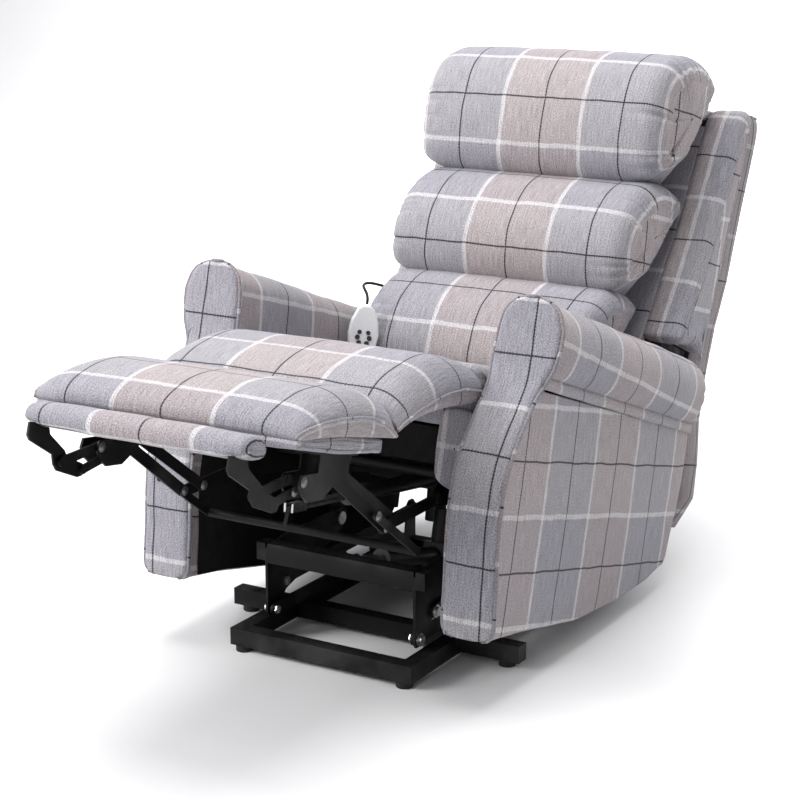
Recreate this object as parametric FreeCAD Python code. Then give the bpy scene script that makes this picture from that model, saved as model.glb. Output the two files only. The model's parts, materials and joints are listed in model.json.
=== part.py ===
import FreeCAD, Part
import math
import os

# Electric lift recliner: upholstered roll-arm body, folding two-pad footrest and scissor lift base.
# Millimetres, +Z up, +Y to the rear; "right" is +X, as seen from the front.
# Rest pose: seat tilted back, footrest out, back slightly reclined. The steel base is drawn level.
# The body is drawn level in its own coordinates, then tilted back about the X axis.

Vector = FreeCAD.Vector
SIDES = (1, -1)

TILT = 14.7            # backward tilt of the body, degrees
Y_SHIFT = -346.76      # moves the middle of the overall depth onto Y = 0

SEAT_HALF = 262.0      # half width of seat cushion and leg pads
ARM_IN = 272.0         # inner face of an arm
ARM_OUT = 370.0        # outer face of an arm panel
RAIL_TOP = 45.0
RAIL_BOTTOM = 12.0
SMALL_PIN = 5.0        # pin radii
LINK_PIN = 6.0
LARGE_PIN = 8.0
CLEARANCE = 0.06       # radial running clearance of every pin

# Pivots of the lift linkage (y, z), level coordinates
LOWER_ARM_FRONT = (72.0, 63.0)
UPPER_ARM_FRONT = (118.0, 105.0)
LOWER_ARM_REAR = (480.0, 63.0)
UPPER_ARM_REAR = (625.0, 110.0)
LIFT_FOOT = (480.0, 80.0)       # lift motor, floor end
LIFT_HEAD = (100.0, 177.0)      # lift motor, carriage end
CARRIAGE_TILT = (318, 175)      # where the tilt pivot lies on the carriage

# Pivots of the body and footrest (y, z), body coordinates
TILT_PIVOT = (263.2, 250.0)
RECLINE_PIVOT = (660.0, 360.0)
LEG_ROOT = (-30.0, 345.0)
LEG_KNEE = (-215.0, 297.0)
LEG_END = (-413.0, 385.0)
SECOND_KNEE = (-170.6, 308.52)
SECOND_END = (-370.0, 388.0)
FLAP_ROOT = (-500.0, 374.0)
FLAP_END = (-592.0, 348.0)
SECOND_FLAP_ROOT = (-482.0, 356.0)
SECOND_FLAP_END = (-536.0, 335.0)
YOKE_PIVOT = (-265.0, 319.0)
YOKE_TUBE = (-106.0, 255.0)
YOKE_LUG = (-100.0, 290.0)
FOOT_MOTOR = (490.0, 356.0)
BACK_MOTOR = (290.0, 350.0)
BACK_LUG = (670.0, 270.0)

# Spans in x (inner, outer) of the plates on the right; the left ones are opposite
LIFT_LUG_X = (9.5, 14.5)
LOWER_BRACKET_X = (143, 148)
LOWER_ARM_X = (150, 155)
CARRIAGE_X = (158, 163)
UPPER_ARM_X = (166, 171)
UPPER_BRACKET_X = (173, 178)
TILT_PLATE_X = (166, 171)
CHASSIS_X = (198, 202)
BACK_POST_X = (204.0, 224.0)

# The two body motors hang between a pair of lugs
FOOT_MOTOR_X = -50.0
BACK_MOTOR_X = 70.0
LUG_REACH = 14         # motor axis to the outer face of a lug
LUG_THICK = 5


# ---------------------------------- helpers ----------------------------------
def box(x0, x1, y0, y1, z0, z1):
    return Part.makeBox(x1 - x0, y1 - y0, z1 - z0, Vector(x0, y0, z0))


def span(side, inner, outer):
    """X limits, in rising order, of a span on the given side of the middle."""
    return sorted((inner * side, outer * side))


def cylinder_x(centre, radius, x0, x1):
    return Part.makeCylinder(radius, x1 - x0, Vector(x0, *centre), Vector(1, 0, 0))


def closed_face(points):
    return Part.Face(Part.makePolygon(points + [points[0]]))


def face_xz(outline, y):
    return closed_face([Vector(x, y, z) for x, z in outline])


def prism(outline, x0, x1):
    """Extrude a (y, z) outline from x0 to x1."""
    return closed_face([Vector(x0, y, z) for y, z in outline]).extrude(Vector(x1 - x0, 0, 0))


def drill(shape, x0, x1, holes):
    """Cut running holes for pins given as (centre, pin radius)."""
    for centre, pin_radius in holes:
        shape = shape.cut(cylinder_x(centre, pin_radius + CLEARANCE, x0 - 1, x1 + 1))
    return shape


def plate(outline, x0, x1, holes=()):
    return drill(prism(outline, x0, x1), x0, x1, holes)


def bar(start, end, width, x0, x1, holes=()):
    """Flat link with round ends between two (y, z) points."""
    dy, dz = end[0] - start[0], end[1] - start[1]
    length = math.hypot(dy, dz)
    uy, uz = dy / length, dz / length
    half = width / 2.0
    outline = [(start[0] - uz * half, start[1] + uy * half),
               (end[0] - uz * half, end[1] + uy * half),
               (end[0] + uz * half, end[1] - uy * half),
               (start[0] + uz * half, start[1] - uy * half)]
    ends = [cylinder_x(start, half, x0, x1), cylinder_x(end, half, x0, x1)]
    return drill(prism(outline, x0, x1).fuse(ends).removeSplitter(), x0, x1, holes)


def flip(shape):
    return shape.mirror(Vector(0, 0, 0), Vector(1, 0, 0))


def pair(shape):
    return [shape, flip(shape)]


def both(shape):
    return Part.makeCompound(pair(shape))


def fuse(parts):
    return parts[0].fuse(parts[1:]).removeSplitter()


def soften(shape, radius, pick=None):
    """Round the picked edges, or by default every long enough edge."""
    if pick is None:
        edges = [edge for edge in shape.Edges if edge.Length > 2.2 * radius]
    else:
        edges = [edge for edge in shape.Edges if pick(edge)]
    for factor in (1.0, 0.7, 0.45, 0.25):
        # A fillet too large for the shape fails; the next smaller radius is then tried
        try:
            rounded = shape.makeFillet(radius * factor, edges)
            if rounded.isValid() and rounded.Volume > 0 and len(rounded.Solids) == 1:
                return rounded
        except Exception:
            pass
    return shape


def pin(centre, radius, x0, x1, head_radius=9.0, head_thick=3.0):
    """Pin with a head at each end, through plates lying between x0 and x1."""
    gap = 0.25
    return fuse([cylinder_x(centre, radius, x0 - gap - 0.5, x1 + gap + 0.5),
                 cylinder_x(centre, head_radius, x0 - gap - head_thick, x0 - gap),
                 cylinder_x(centre, head_radius, x1 + gap, x1 + gap + head_thick)])


def stud(side, centre, radius, shank, head_radius, head):
    """Shank and head of a stud, each with its (inner, outer) x span."""
    return [cylinder_x(centre, radius, *span(side, *shank)),
            cylinder_x(centre, head_radius, *span(side, *head))]


def bolt(centre, x_in, x_out):
    """Cap bolt with a flat washer outside and a hexagon nut inside."""
    nut_radius, nut_thick = 9, 5
    corners = [Vector(x_in - 5.3,
                      centre[0] + nut_radius * math.cos(k * math.pi / 3),
                      centre[1] + nut_radius * math.sin(k * math.pi / 3)) for k in range(6)]
    nut = closed_face(corners).extrude(Vector(nut_thick, 0, 0))
    return fuse([cylinder_x(centre, SMALL_PIN, x_in - 7, x_out + 3),
                 nut,
                 cylinder_x(centre, 12, x_out + 0.3, x_out + 2.3),
                 cylinder_x(centre, 8.5, x_out + 2.2, x_out + 8)])


def wire_spring(points, radius=1.9):
    """Bent wire: a rod along each segment and a ball at each inner corner."""
    parts = [Part.makeCylinder(radius, (end - start).Length, start, end - start)
             for start, end in zip(points[:-1], points[1:])]
    parts += [Part.makeSphere(radius, point) for point in points[1:-1]]
    return parts[0].fuse(parts[1:])


# -------------------------------- floor frame --------------------------------
# Bracket outlines (y, z)
LOWER_BRACKET = [(464, 40), (464, 62), (472, 78), (488, 78), (496, 62), (496, 40)]
UPPER_BRACKET = [(600, 44), (608, 118), (618, 128), (632, 128), (641, 118), (641, 44)]
LIFT_LUG = [(464, 40), (467.5, 82), (471, 89), (477, 92.5), (483, 92.5), (489, 89),
            (492.5, 82), (496, 40)]

# Cross rails: half length, y from, y to, top
CROSS_RAILS = [(196, -14, 16, RAIL_TOP), (316, 170, 200, RAIL_TOP), (286, 612, 642, RAIL_TOP),
               (166, 465, 495, RAIL_TOP - 3)]
SIDE_RAIL_X = (166, 196)
FOOT_RADIUS = 16.0
FOOT_PLACES = ((174, 0), (285, 185), (262, 627))   # x to each side, y


def floor_frame():
    parts = [box(-half, half, y0, y1, RAIL_BOTTOM, top) for half, y0, y1, top in CROSS_RAILS]
    for side in SIDES:
        parts += [box(*span(side, *SIDE_RAIL_X), 10, 620, RAIL_BOTTOM, RAIL_TOP),
                  plate(LOWER_BRACKET, *span(side, *LOWER_BRACKET_X),
                        [(LOWER_ARM_REAR, SMALL_PIN)]),
                  plate(UPPER_BRACKET, *span(side, *UPPER_BRACKET_X),
                        [(UPPER_ARM_REAR, SMALL_PIN)]),
                  plate(LIFT_LUG, *span(side, *LIFT_LUG_X), [(LIFT_FOOT, SMALL_PIN)])]
    return fuse(parts)


def floor_feet():
    feet = []
    for x, y in FOOT_PLACES:
        for side in SIDES:
            foot = Part.makeCylinder(FOOT_RADIUS, RAIL_BOTTOM, Vector(x * side, y, 0))
            feet.append(soften(foot, 1.5, lambda edge: abs(edge.BoundBox.ZMax) < 0.1))
    return Part.makeCompound(feet)


def floor_pivot_pins():
    lower = pin(LOWER_ARM_REAR, SMALL_PIN, LOWER_BRACKET_X[0], LOWER_ARM_X[1])
    upper = pin(UPPER_ARM_REAR, SMALL_PIN, UPPER_ARM_X[0], UPPER_BRACKET_X[1])
    motor_pin = pin(LIFT_FOOT, SMALL_PIN, -LIFT_LUG_X[1], LIFT_LUG_X[1])
    return Part.makeCompound(pair(lower) + pair(upper) + [motor_pin])


# --------------------------- lift arms and carriage --------------------------
LIFT_ARM_WIDTH = 26
CARRIAGE_CHEEK = [(57, 186), (57, 78), (56, 60), (62, 49), (82, 49), (92, 62), (120, 88),
                  (200, 112), (322, 152), (341, 170), (341, 186), (322, 198), (120, 198)]
CARRIAGE_LUG = [(86, 160), (86, 194), (100, 194), (112, 184), (112, 170), (100, 160)]
CARRIAGE_LUG_X = (11, 16)
CROSSBAR_Y = (57, 87)


def lift_arm_lower():
    return both(bar(LOWER_ARM_FRONT, LOWER_ARM_REAR, LIFT_ARM_WIDTH, *LOWER_ARM_X,
                    [(LOWER_ARM_FRONT, SMALL_PIN), (LOWER_ARM_REAR, SMALL_PIN)]))


def lift_arm_upper():
    return both(bar(UPPER_ARM_FRONT, UPPER_ARM_REAR, LIFT_ARM_WIDTH, *UPPER_ARM_X,
                    [(UPPER_ARM_FRONT, SMALL_PIN), (UPPER_ARM_REAR, SMALL_PIN)]))


def carriage_frame():
    parts = [box(-158.5, 158.5, *CROSSBAR_Y, 158, 196)]
    for side in SIDES:
        parts += [plate(CARRIAGE_CHEEK, *span(side, *CARRIAGE_X),
                        [(LOWER_ARM_FRONT, SMALL_PIN), (UPPER_ARM_FRONT, SMALL_PIN),
                         (CARRIAGE_TILT, LARGE_PIN)]),
                  box(*span(side, 162.5, 182), *CROSSBAR_Y, 162, 196),
                  plate(CARRIAGE_LUG, *span(side, *CARRIAGE_LUG_X), [(LIFT_HEAD, SMALL_PIN)])]
    return fuse(parts)


def carriage_bolts():
    lower = bolt(LOWER_ARM_FRONT, LOWER_ARM_X[0], CARRIAGE_X[1])
    # The upper bolt is cut off at the cheek, just short of the screw in the upper arm
    upper = bolt(UPPER_ARM_FRONT, *CARRIAGE_X).common(box(140, 163.1, 0, 300, 0, 300))
    return Part.makeCompound(pair(lower) + pair(upper))


def lift_arm_screws():
    # Radius and x span of the shank, inner collar, washer and head
    steps = [(SMALL_PIN, 165.9, 173), (8, 163.5, 165.8), (12, 171.2, 173.4), (8.5, 173.3, 179)]
    return both(fuse([cylinder_x(UPPER_ARM_FRONT, *step) for step in steps]))


# ------------------------------- linear motors -------------------------------
LIFT_MOTOR = dict(start=LIFT_FOOT, end=LIFT_HEAD, x=0.0, tube_length=280, rod_length=235,
                  tube_radius=17, rod_radius=9, motor_side=-1, forked=False)
FOOTREST_MOTOR = dict(start=FOOT_MOTOR, end=YOKE_LUG, x=FOOT_MOTOR_X, tube_length=400,
                      rod_length=240, tube_radius=16, rod_radius=8, motor_side=1, forked=True)
RECLINE_MOTOR = dict(start=BACK_MOTOR, end=BACK_LUG, x=BACK_MOTOR_X, tube_length=280,
                     rod_length=220, tube_radius=16, rod_radius=8, motor_side=-1, forked=True)


def motor(start, end, x, tube_length, rod_length, tube_radius, rod_radius, motor_side, forked):
    """Outer tube with gearbox and motor, and sliding rod, between two (y, z) pivots.
    The gearbox and rod tip are drawn with the motor axis along Y."""
    dy, dz = end[0] - start[0], end[1] - start[1]
    length = math.hypot(dy, dz)
    axis = Vector(0, dy / length, dz / length)
    across = Vector(0, -dz / length, dy / length)
    origin = Vector(x, *start)

    def on_axis(shape, distance):
        place = origin + axis * distance
        return shape.transformShape(FreeCAD.Matrix(1, 0, 0, place.x,
                                                   0, axis.y, across.y, place.y,
                                                   0, axis.z, across.z, place.z,
                                                   0, 0, 0, 1))

    def along(radius, size, distance):
        return Part.makeCylinder(radius, size, origin + axis * distance, axis)

    tube = along(tube_radius, tube_length - 30, 30)
    gearbox = box(-23, 23, 14, 74, -25, 25)
    can = Part.makeCylinder(21, 92, Vector(0, 44, 0), Vector(0, 0, motor_side))
    eye = box(-8, 8, -6, 18, -10, 10)
    drive = fuse([gearbox, can, eye]).cut(cylinder_x((0, 0), SMALL_PIN + CLEARANCE, -30, 30))
    collar = along(tube_radius + 3, 14, tube_length - 14)
    bore = along(rod_radius + 0.8, tube_length, 80)
    outer = fuse([tube, collar, on_axis(drive, 0)]).cut(bore)

    rod = along(rod_radius, rod_length - 34, length - rod_length)
    if forked:
        tip = box(-10, 10, 0, 46, -8, 8).cut(box(-6, 6, 11, 57, -10, 10))
        tip_setback = 38
    else:
        tip = box(-7, 7, 0, 46, -8, 8)
        tip_setback = 44
    return outer, fuse([rod, on_axis(tip, length - tip_setback)])


# ------------------------------- steel chassis -------------------------------
SIDE_PLATE = [(-44, 338), (-44, 352), (-36, 362), (-12, 398), (640, 398), (674, 374),
              (677, 352), (662, 343), (640, 341), (560, 338), (0, 332), (-30, 331)]
TILT_PLATE = [(243, 244), (252, 234), (263, 230), (275, 234), (284, 244), (300, 397), (226, 397)]
FOOT_MOTOR_LUG = [(480, 384), (520, 384), (500, 346), (490, 343), (480, 346)]
BACK_MOTOR_LUG = [(250, 384), (276, 384), (303, 350), (300, 340), (284, 338), (276, 344)]
CROSS_TUBES = (((60, 385), 11), ((263, 384), 12), ((500, 384), 11))   # (y, z), radius


def motor_lugs(outline, motor_x, pivot):
    return [plate(outline, x, x + LUG_THICK, [(pivot, SMALL_PIN)])
            for x in (motor_x - LUG_REACH, motor_x + LUG_REACH - LUG_THICK)]


def seat_chassis():
    parts = []
    for side in SIDES:
        parts += [plate(SIDE_PLATE, *span(side, *CHASSIS_X), [(RECLINE_PIVOT, LARGE_PIN)]),
                  box(*span(side, 198, 248), -10, 596, 395, 398),
                  plate(TILT_PLATE, *span(side, *TILT_PLATE_X), [(TILT_PIVOT, LARGE_PIN)])]
        parts += stud(side, LEG_ROOT, LINK_PIN, (201.5, 208.4), 9, (208.3, 211))
    parts += [cylinder_x(centre, radius, -199, 199) for centre, radius in CROSS_TUBES]
    parts += motor_lugs(FOOT_MOTOR_LUG, FOOT_MOTOR_X, FOOT_MOTOR)
    parts += motor_lugs(BACK_MOTOR_LUG, BACK_MOTOR_X, BACK_MOTOR)
    return fuse(parts)


def seat_pivot_pins():
    motor_pins = [pin(pivot, SMALL_PIN, x - LUG_REACH, x + LUG_REACH)
                  for pivot, x in ((FOOT_MOTOR, FOOT_MOTOR_X), (BACK_MOTOR, BACK_MOTOR_X))]
    tilt_pin = pin(TILT_PIVOT, LARGE_PIN, CARRIAGE_X[0], TILT_PLATE_X[1], 13, 4)
    return Part.makeCompound(motor_pins + pair(tilt_pin))


# ---------------------------------- seat box ---------------------------------
BOX_IN, BOX_OUT = 225, 250           # faces of the side boards, to each side
BOX_FRONT, BOX_REAR = -11, 622
BOX_BOTTOM, BOX_TOP = 398.3, 460
SPRING_AMPLITUDE = 17


def seat_box_frame():
    parts = [box(*span(side, BOX_IN, BOX_OUT), BOX_FRONT, BOX_REAR, BOX_BOTTOM, BOX_TOP)
             for side in SIDES]
    parts += [box(-226, 226, BOX_FRONT, 11, 404, 469.4),
              box(-226, 226, 600, BOX_REAR, 404, BOX_TOP)]
    return fuse(parts)


def seat_spring(x):
    front, rear, z, pitch = 15, 612, 462.4, 36.0
    y, swing = front, SPRING_AMPLITUDE
    points = [Vector(x, front, z)]
    while y + pitch / 2 < rear:
        points.append(Vector(x + swing, y + pitch * 0.15, z))
        points.append(Vector(x + swing, y + pitch * 0.35, z))
        y += pitch / 2
        swing = -swing
    points.append(Vector(x, rear, z))
    return wire_spring(points)


def seat_springs():
    return Part.makeCompound([seat_spring(x) for x in (-180, -90, 0, 90, 180)])


def control_box():
    return soften(box(-172, -92, 372, 474, 336, 392), 6)


def arm_brackets():
    return Part.makeCompound([box(*span(side, 250.4, 271.6), y, y + 40, 408, 452)
                              for y in (70, 470) for side in SIDES])


# Hooked front part of a side cheek (x, z)
CHEEK = [(192, 402), (203.6, 402), (203.6, 380), (221, 378), (225, 360), (267, 359),
         (267, 512), (192, 512)]


def seat_side_cheeks():
    front = face_xz(CHEEK, -38).extrude(Vector(0, 9.8, 0))
    return both(soften(fuse([front, box(224, 267, -30, -14, 402, 466)]), 3))


# ------------------------------------ arms -----------------------------------
# Front edge of an arm (y, z), upwards
ARM_FRONT = [(-81, 118), (-89, 162), (-96, 213), (-108, 265), (-115, 317), (-116, 359),
             (-114, 392), (-102, 441), (-75, 492), (-33, 553)]
FRONT_DEPTH = 14.0     # depth of the padded front panel
# Rest of the arm panel (y, z): rearwards along the top, down the rear, forwards underneath
ARM_REST = [(0, 552), (244, 531), (605, 499), (716, 489), (720, 406), (708, 344), (694, 290),
            (687, 251), (675, 231), (605, 206), (488, 173), (372, 152), (262, 137), (132, 133),
            (30, 130), (-59, 122)]
# Cross section of the arm roll (x, z)
SCROLL = [(366, 556), (378, 566), (392, 596), (399, 632), (400, 662), (391, 691), (366, 712),
          (335, 719), (303, 710), (283, 690), (277, 664), (274, 626), (272.5, 590), (272.5, 556)]
# Piece of the front between panel and scroll (y, z)
ARM_NECK = [(-33, 552), (-33 + FRONT_DEPTH - 1.8, 552), (-13, 575), (-13, 600), (-26, 600)]


def arm_panel():
    outline = [(y + FRONT_DEPTH, z) for y, z in ARM_FRONT] + ARM_REST
    return soften(prism(outline, ARM_IN, ARM_OUT), 10,
                  lambda edge: edge.BoundBox.XMin > ARM_OUT - 0.5)


def arm_roll():
    # The roll slopes down to the rear
    roll = face_xz(SCROLL, -12).extrude(Vector(0, 744, -64))
    return soften(roll, 7, lambda edge: edge.BoundBox.YMin > 700)


def arm_front():
    rear_edge = [(y + FRONT_DEPTH - 0.6, z) for y, z in reversed(ARM_FRONT)]
    front = prism(ARM_FRONT + rear_edge, ARM_IN, ARM_OUT)
    front = front.fuse(prism(ARM_NECK, ARM_IN + 1, 372))
    scroll_cap = face_xz(SCROLL, -27).extrude(Vector(0, 14.4, 0))
    return front.fuse(scroll_cap).removeSplitter()


def dust_cloths():
    return Part.makeCompound([box(*span(side, 269, 271), 60, 690, 250, 400) for side in SIDES])


# ---------------------------------- footrest ---------------------------------
def layer(inner):
    """X span of a linkage plate, 4 thick."""
    return inner, inner + 4.0


HANGER_X, FLAP_LINK_X, FLAP_BRACKET_X = layer(180.5), layer(185.5), layer(190.5)
BASE_LINK_X, REAR_LINK_X, BOARD_PLATE_X, YOKE_X = (layer(204.0), layer(209.0), layer(214.0),
                                                   layer(219.0))
BOARD_PLATE = [(-512, 368), (-508, 384), (-461, 389), (-461, 421.5), (-398, 421.5), (-398, 380),
               (-404, 373), (-440, 346), (-482, 342), (-496, 350)]
BOARD_LUG = [(-394, 420), (-346, 420), (-352, 392), (-358, 380), (-370, 376), (-382, 380),
             (-388, 392)]
FLAP_BRACKET = [(-678, 409.5), (-632, 409.5), (-624, 391), (-583, 366), (-575, 356), (-533, 345),
                (-526, 336), (-530, 325), (-542, 322), (-596, 332), (-606, 342), (-612, 358),
                (-672, 380), (-679, 388)]
YOKE_LUG_PLATE = [(-114, 256), (-98, 256), (-92, 292), (-100, 298), (-108, 292)]


def leg_link_base():
    parts = [bar(LEG_ROOT, LEG_KNEE, 22, *BASE_LINK_X, [(LEG_ROOT, LINK_PIN)])]
    parts += stud(1, LEG_KNEE, LINK_PIN, (207.5, 213.6), 9, (213.4, 215.6))
    parts += stud(1, SECOND_KNEE, LINK_PIN, (197.4, 204.5), 9, (195.2, 197.6))
    return both(fuse(parts))


def leg_link_rear():
    parts = [bar(LEG_KNEE, LEG_END, 22, *REAR_LINK_X,
                 [(LEG_KNEE, LINK_PIN), (LEG_END, LINK_PIN)])]
    parts += stud(1, YOKE_PIVOT, SMALL_PIN, (212.5, 223.6), 8, (223.4, 226))
    return both(fuse(parts))


def leg_link_rear_second():
    return both(fuse([bar(SECOND_KNEE, SECOND_END, 20, 198, 202, [(SECOND_KNEE, LINK_PIN)]),
                      cylinder_x(SECOND_END, 8, 195.4, 198.4)]))


def board_hanger(side):
    parts = [plate(BOARD_PLATE, *span(side, *BOARD_PLATE_X))]
    parts += stud(side, LEG_END, LINK_PIN, (208.6, 214.5), 8.5, (206.2, 208.7))
    parts.append(plate(BOARD_PLATE, *span(side, *HANGER_X)))
    for pivot in (FLAP_ROOT, SECOND_FLAP_ROOT):
        parts += stud(side, pivot, LINK_PIN, (184.2, 190.0), 8.5, (189.8, 192.0))
    parts += [box(*span(side, HANGER_X[0], BOARD_PLATE_X[1]), -480, -345, 418.3, 421.6),
              plate(BOARD_LUG, *span(side, *BASE_LINK_X))]
    return fuse(parts)


def footrest_frame():
    return Part.makeCompound([board_hanger(side) for side in SIDES])


def footrest_board():
    return soften(box(-250, 250, -588, -336, 422, 451), 5)


def leg_link_front():
    return both(fuse([bar(FLAP_ROOT, FLAP_END, 16, *FLAP_LINK_X,
                          [(FLAP_ROOT, LINK_PIN), (FLAP_END, LINK_PIN)])]))


def leg_link_front_second():
    return both(fuse([bar(SECOND_FLAP_ROOT, SECOND_FLAP_END, 15, *FLAP_LINK_X,
                          [(SECOND_FLAP_ROOT, LINK_PIN)]),
                      cylinder_x(SECOND_FLAP_END, 7, 183.2, 185.8)]))


def foot_flap_frame():
    parts = []
    for side in SIDES:
        parts.append(plate(FLAP_BRACKET, *span(side, *FLAP_BRACKET_X)))
        parts += stud(side, FLAP_END, LINK_PIN, (185.0, 191.0), 8.5, (183.0, 185.2))
    parts.append(box(-191, 191, -662, -628, 406, 409.5))
    return fuse(parts)


def foot_flap_pad():
    return soften(box(-203, 203, -668, -603, 410, 440), 12)


def drive_yoke():
    parts = [bar(YOKE_PIVOT, YOKE_TUBE, 15, *span(side, *YOKE_X), [(YOKE_PIVOT, SMALL_PIN)])
             for side in SIDES]
    parts += [cylinder_x(YOKE_TUBE, 8, -YOKE_X[0] - 0.5, YOKE_X[0] + 0.5),
              plate(YOKE_LUG_PLATE, FOOT_MOTOR_X - 4, FOOT_MOTOR_X + 4)]
    return fuse(parts)


# ------------------------------------ back -----------------------------------
BACK_POST = [(641, 349), (650, 342), (670, 342), (681, 352), (690, 460), (716, 560), (734, 700),
             (892, 1097), (902, 1125), (866, 1125), (853, 1097), (695, 700), (672, 560),
             (655, 460)]
BACK_LUG_PLATE = [(660, 424), (684, 424), (684, 268), (676, 256), (664, 256), (657, 268)]
WING = [(652, 700), (702, 809), (755, 925), (814, 1097), (840, 1162), (858, 1182), (882, 1190),
        (902, 1176), (897, 1120), (884, 1050), (866, 980), (850, 920), (834, 829), (805, 725),
        (790, 640), (770, 640), (752, 694)]

# Back shell stations: z, y of the front edge, depth, width factor
SHELL_LEVELS = [
    (300, 790, 40, 0.955), (330, 806, 58, 0.975), (364, 817, 78, 1.0), (443, 805, 96, 1.0),
    (528, 778, 106, 1.0), (622, 778, 108, 1.0), (725, 799, 100, 1.0), (829, 838, 92, 1.0),
    (920, 856, 86, 1.0), (1014, 876, 82, 1.0), (1110, 898, 80, 1.0), (1162, 908, 72, 0.99)]
# Half sections of the shell, side to middle: x, y offset, y as a fraction of the depth
SHELL_OUTER = [(346, -1, 0), (352, 0, 0.22), (345, 0, 0.55), (322, 0, 0.85), (270, 0, 1),
               (140, 0, 1.1), (0, 0, 1.13)]
SHELL_INNER = [(336, -1, 0), (340, 0, 0.20), (334, 0, 0.46), (314, 0, 0.72), (266, 0, 0.86),
               (140, 0, 0.95), (0, 0, 0.97)]


def back_frame():
    parts = [plate(BACK_POST, *span(side, *BACK_POST_X), [(RECLINE_PIVOT, LARGE_PIN)])
             for side in SIDES]
    parts += [box(-206, 206, 866, 898, 1094, 1123),
              box(-206, 206, 690, 716, 560, 590),
              cylinder_x((672, 420), 12, -206, 206),
              plate(BACK_LUG_PLATE, BACK_MOTOR_X - 4, BACK_MOTOR_X + 4,
                    [(BACK_LUG, SMALL_PIN)])]
    return fuse(parts)


def recline_pivot_pins():
    return both(pin(RECLINE_PIVOT, LARGE_PIN, CHASSIS_X[0], BACK_POST_X[1], 13, 4))


def back_spring(x):
    bottom, top, turns = Vector(x, 703, 596), Vector(x, 876, 1090), 14
    points = [bottom]
    for i in range(turns):
        swing = Vector(SPRING_AMPLITUDE if i % 2 else -SPRING_AMPLITUDE, 0, 0)
        for step in (0.3, 0.7):
            points.append(bottom + (top - bottom) * ((i + step) / turns) + swing)
    points.append(top)
    return wire_spring(points)


def back_springs():
    return Part.makeCompound([back_spring(x) for x in (-135, -45, 45, 135)])


def wing_right():
    return soften(prism(WING, 263, 335), 12)


def wing_left():
    return flip(wing_right())


def shell_section(z, front_y, depth, width):
    """C-shaped wire: round the outside right to left, back along the inside."""
    outer, inner = [[(x * width, front_y + offset + fraction * depth)
                     for x, offset, fraction in half] for half in (SHELL_OUTER, SHELL_INNER)]
    loop = outer + [(-x, y) for x, y in reversed(outer[:-1])]
    loop += [(-x, y) for x, y in inner] + inner[-2::-1]
    points = [Vector(x, y, z) for x, y in loop]
    return Part.makePolygon(points + [points[0]])


def back_shell():
    return Part.makeLoft([shell_section(*level) for level in SHELL_LEVELS], True, True)


def back_top_panel():
    front = [(848, 1164), (908, 1164), (908, 1190), (878, 1190)]
    rear = [(906, 1164), (978, 1164), (972, 1180), (950, 1188), (906, 1190)]
    return fuse([prism(front, -260, 260), prism(rear, -338, 338)])


# ------------------------------ full-width padding ---------------------------
# Name: half width, edge radius, (y, z) outline
PADS = {
    "seat_cushion": (SEAT_HALF, 22, [
        (-27, 470), (-27, 560), (-22, 586), (60, 590), (300, 578), (552, 558), (556, 470)]),
    "chaise_bridge": (SEAT_HALF, 12, [
        (-30, 521), (-30, 586), (-90, 581), (-147, 569), (-200, 556), (-249, 541), (-280, 524),
        (-290, 506), (-286, 493), (-237, 491), (-127, 507)]),
    "footrest_pad": (SEAT_HALF, 8, [
        (-297, 453), (-299, 492), (-310, 508), (-350, 519), (-403, 521), (-440, 517),
        (-500, 506), (-545, 488), (-580, 468), (-594, 453)]),
    "back_inner_panel": (258, 5, [
        (590, 565), (652, 700), (705, 809), (758, 925), (817, 1097), (838, 1150), (860, 1143),
        (841, 1093), (781, 921), (728, 805), (675, 696), (614, 560)]),
    "cushion_lumbar": (SEAT_HALF, 16, [
        (593, 584), (653, 718), (640, 742), (600, 753), (550, 760), (510, 754), (475, 734),
        (444, 702), (424, 664), (414, 620), (414, 590), (424, 580), (545, 573), (582, 576)]),
    "cushion_middle": (278, 16, [
        (668, 756), (696, 812), (747, 925), (764, 966), (752, 983), (700, 992), (640, 991),
        (590, 970), (550, 936), (527, 898), (515, 858), (514, 822), (526, 792), (552, 772),
        (610, 757)]),
    "cushion_head": (288, 16, [
        (774, 999), (806, 1090), (828, 1158), (846, 1200), (850, 1222), (830, 1248),
        (780, 1265), (718, 1268), (662, 1250), (628, 1216), (605, 1170), (597, 1120),
        (598, 1075), (608, 1036), (628, 1008), (660, 998)]),
}

# ---------------------------------- handset ----------------------------------
# Drawn facing +X inside the left arm, then turned about the vertical towards the front
HAND_X, HAND_Y, HAND_Z = -228.0, 374.0, 630.0   # middle of the handset
HAND_TURN = -50.0
# Outline: y and distance down from the middle
HAND_OUTLINE = [(0, 50), (18, 48), (29, 34), (32, 13), (28, -14), (18, -38), (8, -46), (-8, -46),
                (-18, -38), (-28, -14), (-32, 13), (-29, 34), (-18, 48)]
# Buttons: y and distance down from the middle, radius
BUTTONS = {"lift_up": (-9, 9, 4.2), "lift_down": (9, 9, 4.2),
           "back_up": (-12.5, 20, 4.8), "back_down": (12.5, 20, 4.8),
           "legs_up": (-8, 31, 4.8), "legs_down": (8, 31, 4.8)}


def turn_handset(shape):
    turned = shape.copy()
    turned.rotate(Vector(HAND_X, HAND_Y, HAND_Z), Vector(0, 0, 1), HAND_TURN)
    return turned


def button_cylinder(y, down, radius, x0, x1):
    return cylinder_x((HAND_Y + y, HAND_Z - down), radius, HAND_X + x0, HAND_X + x1)


def button(y, down, radius):
    return turn_handset(button_cylinder(y, down, radius, 6.8, 10.6))


def handset_shell():
    outline = [(HAND_Y + y, HAND_Z - down) for y, down in HAND_OUTLINE]
    shell = soften(prism(outline, HAND_X - 9, HAND_X + 9), 4)
    for y, down, radius in BUTTONS.values():
        shell = shell.cut(button_cylinder(y, down, radius + 0.4, 5, 12))
    return turn_handset(shell)


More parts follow.
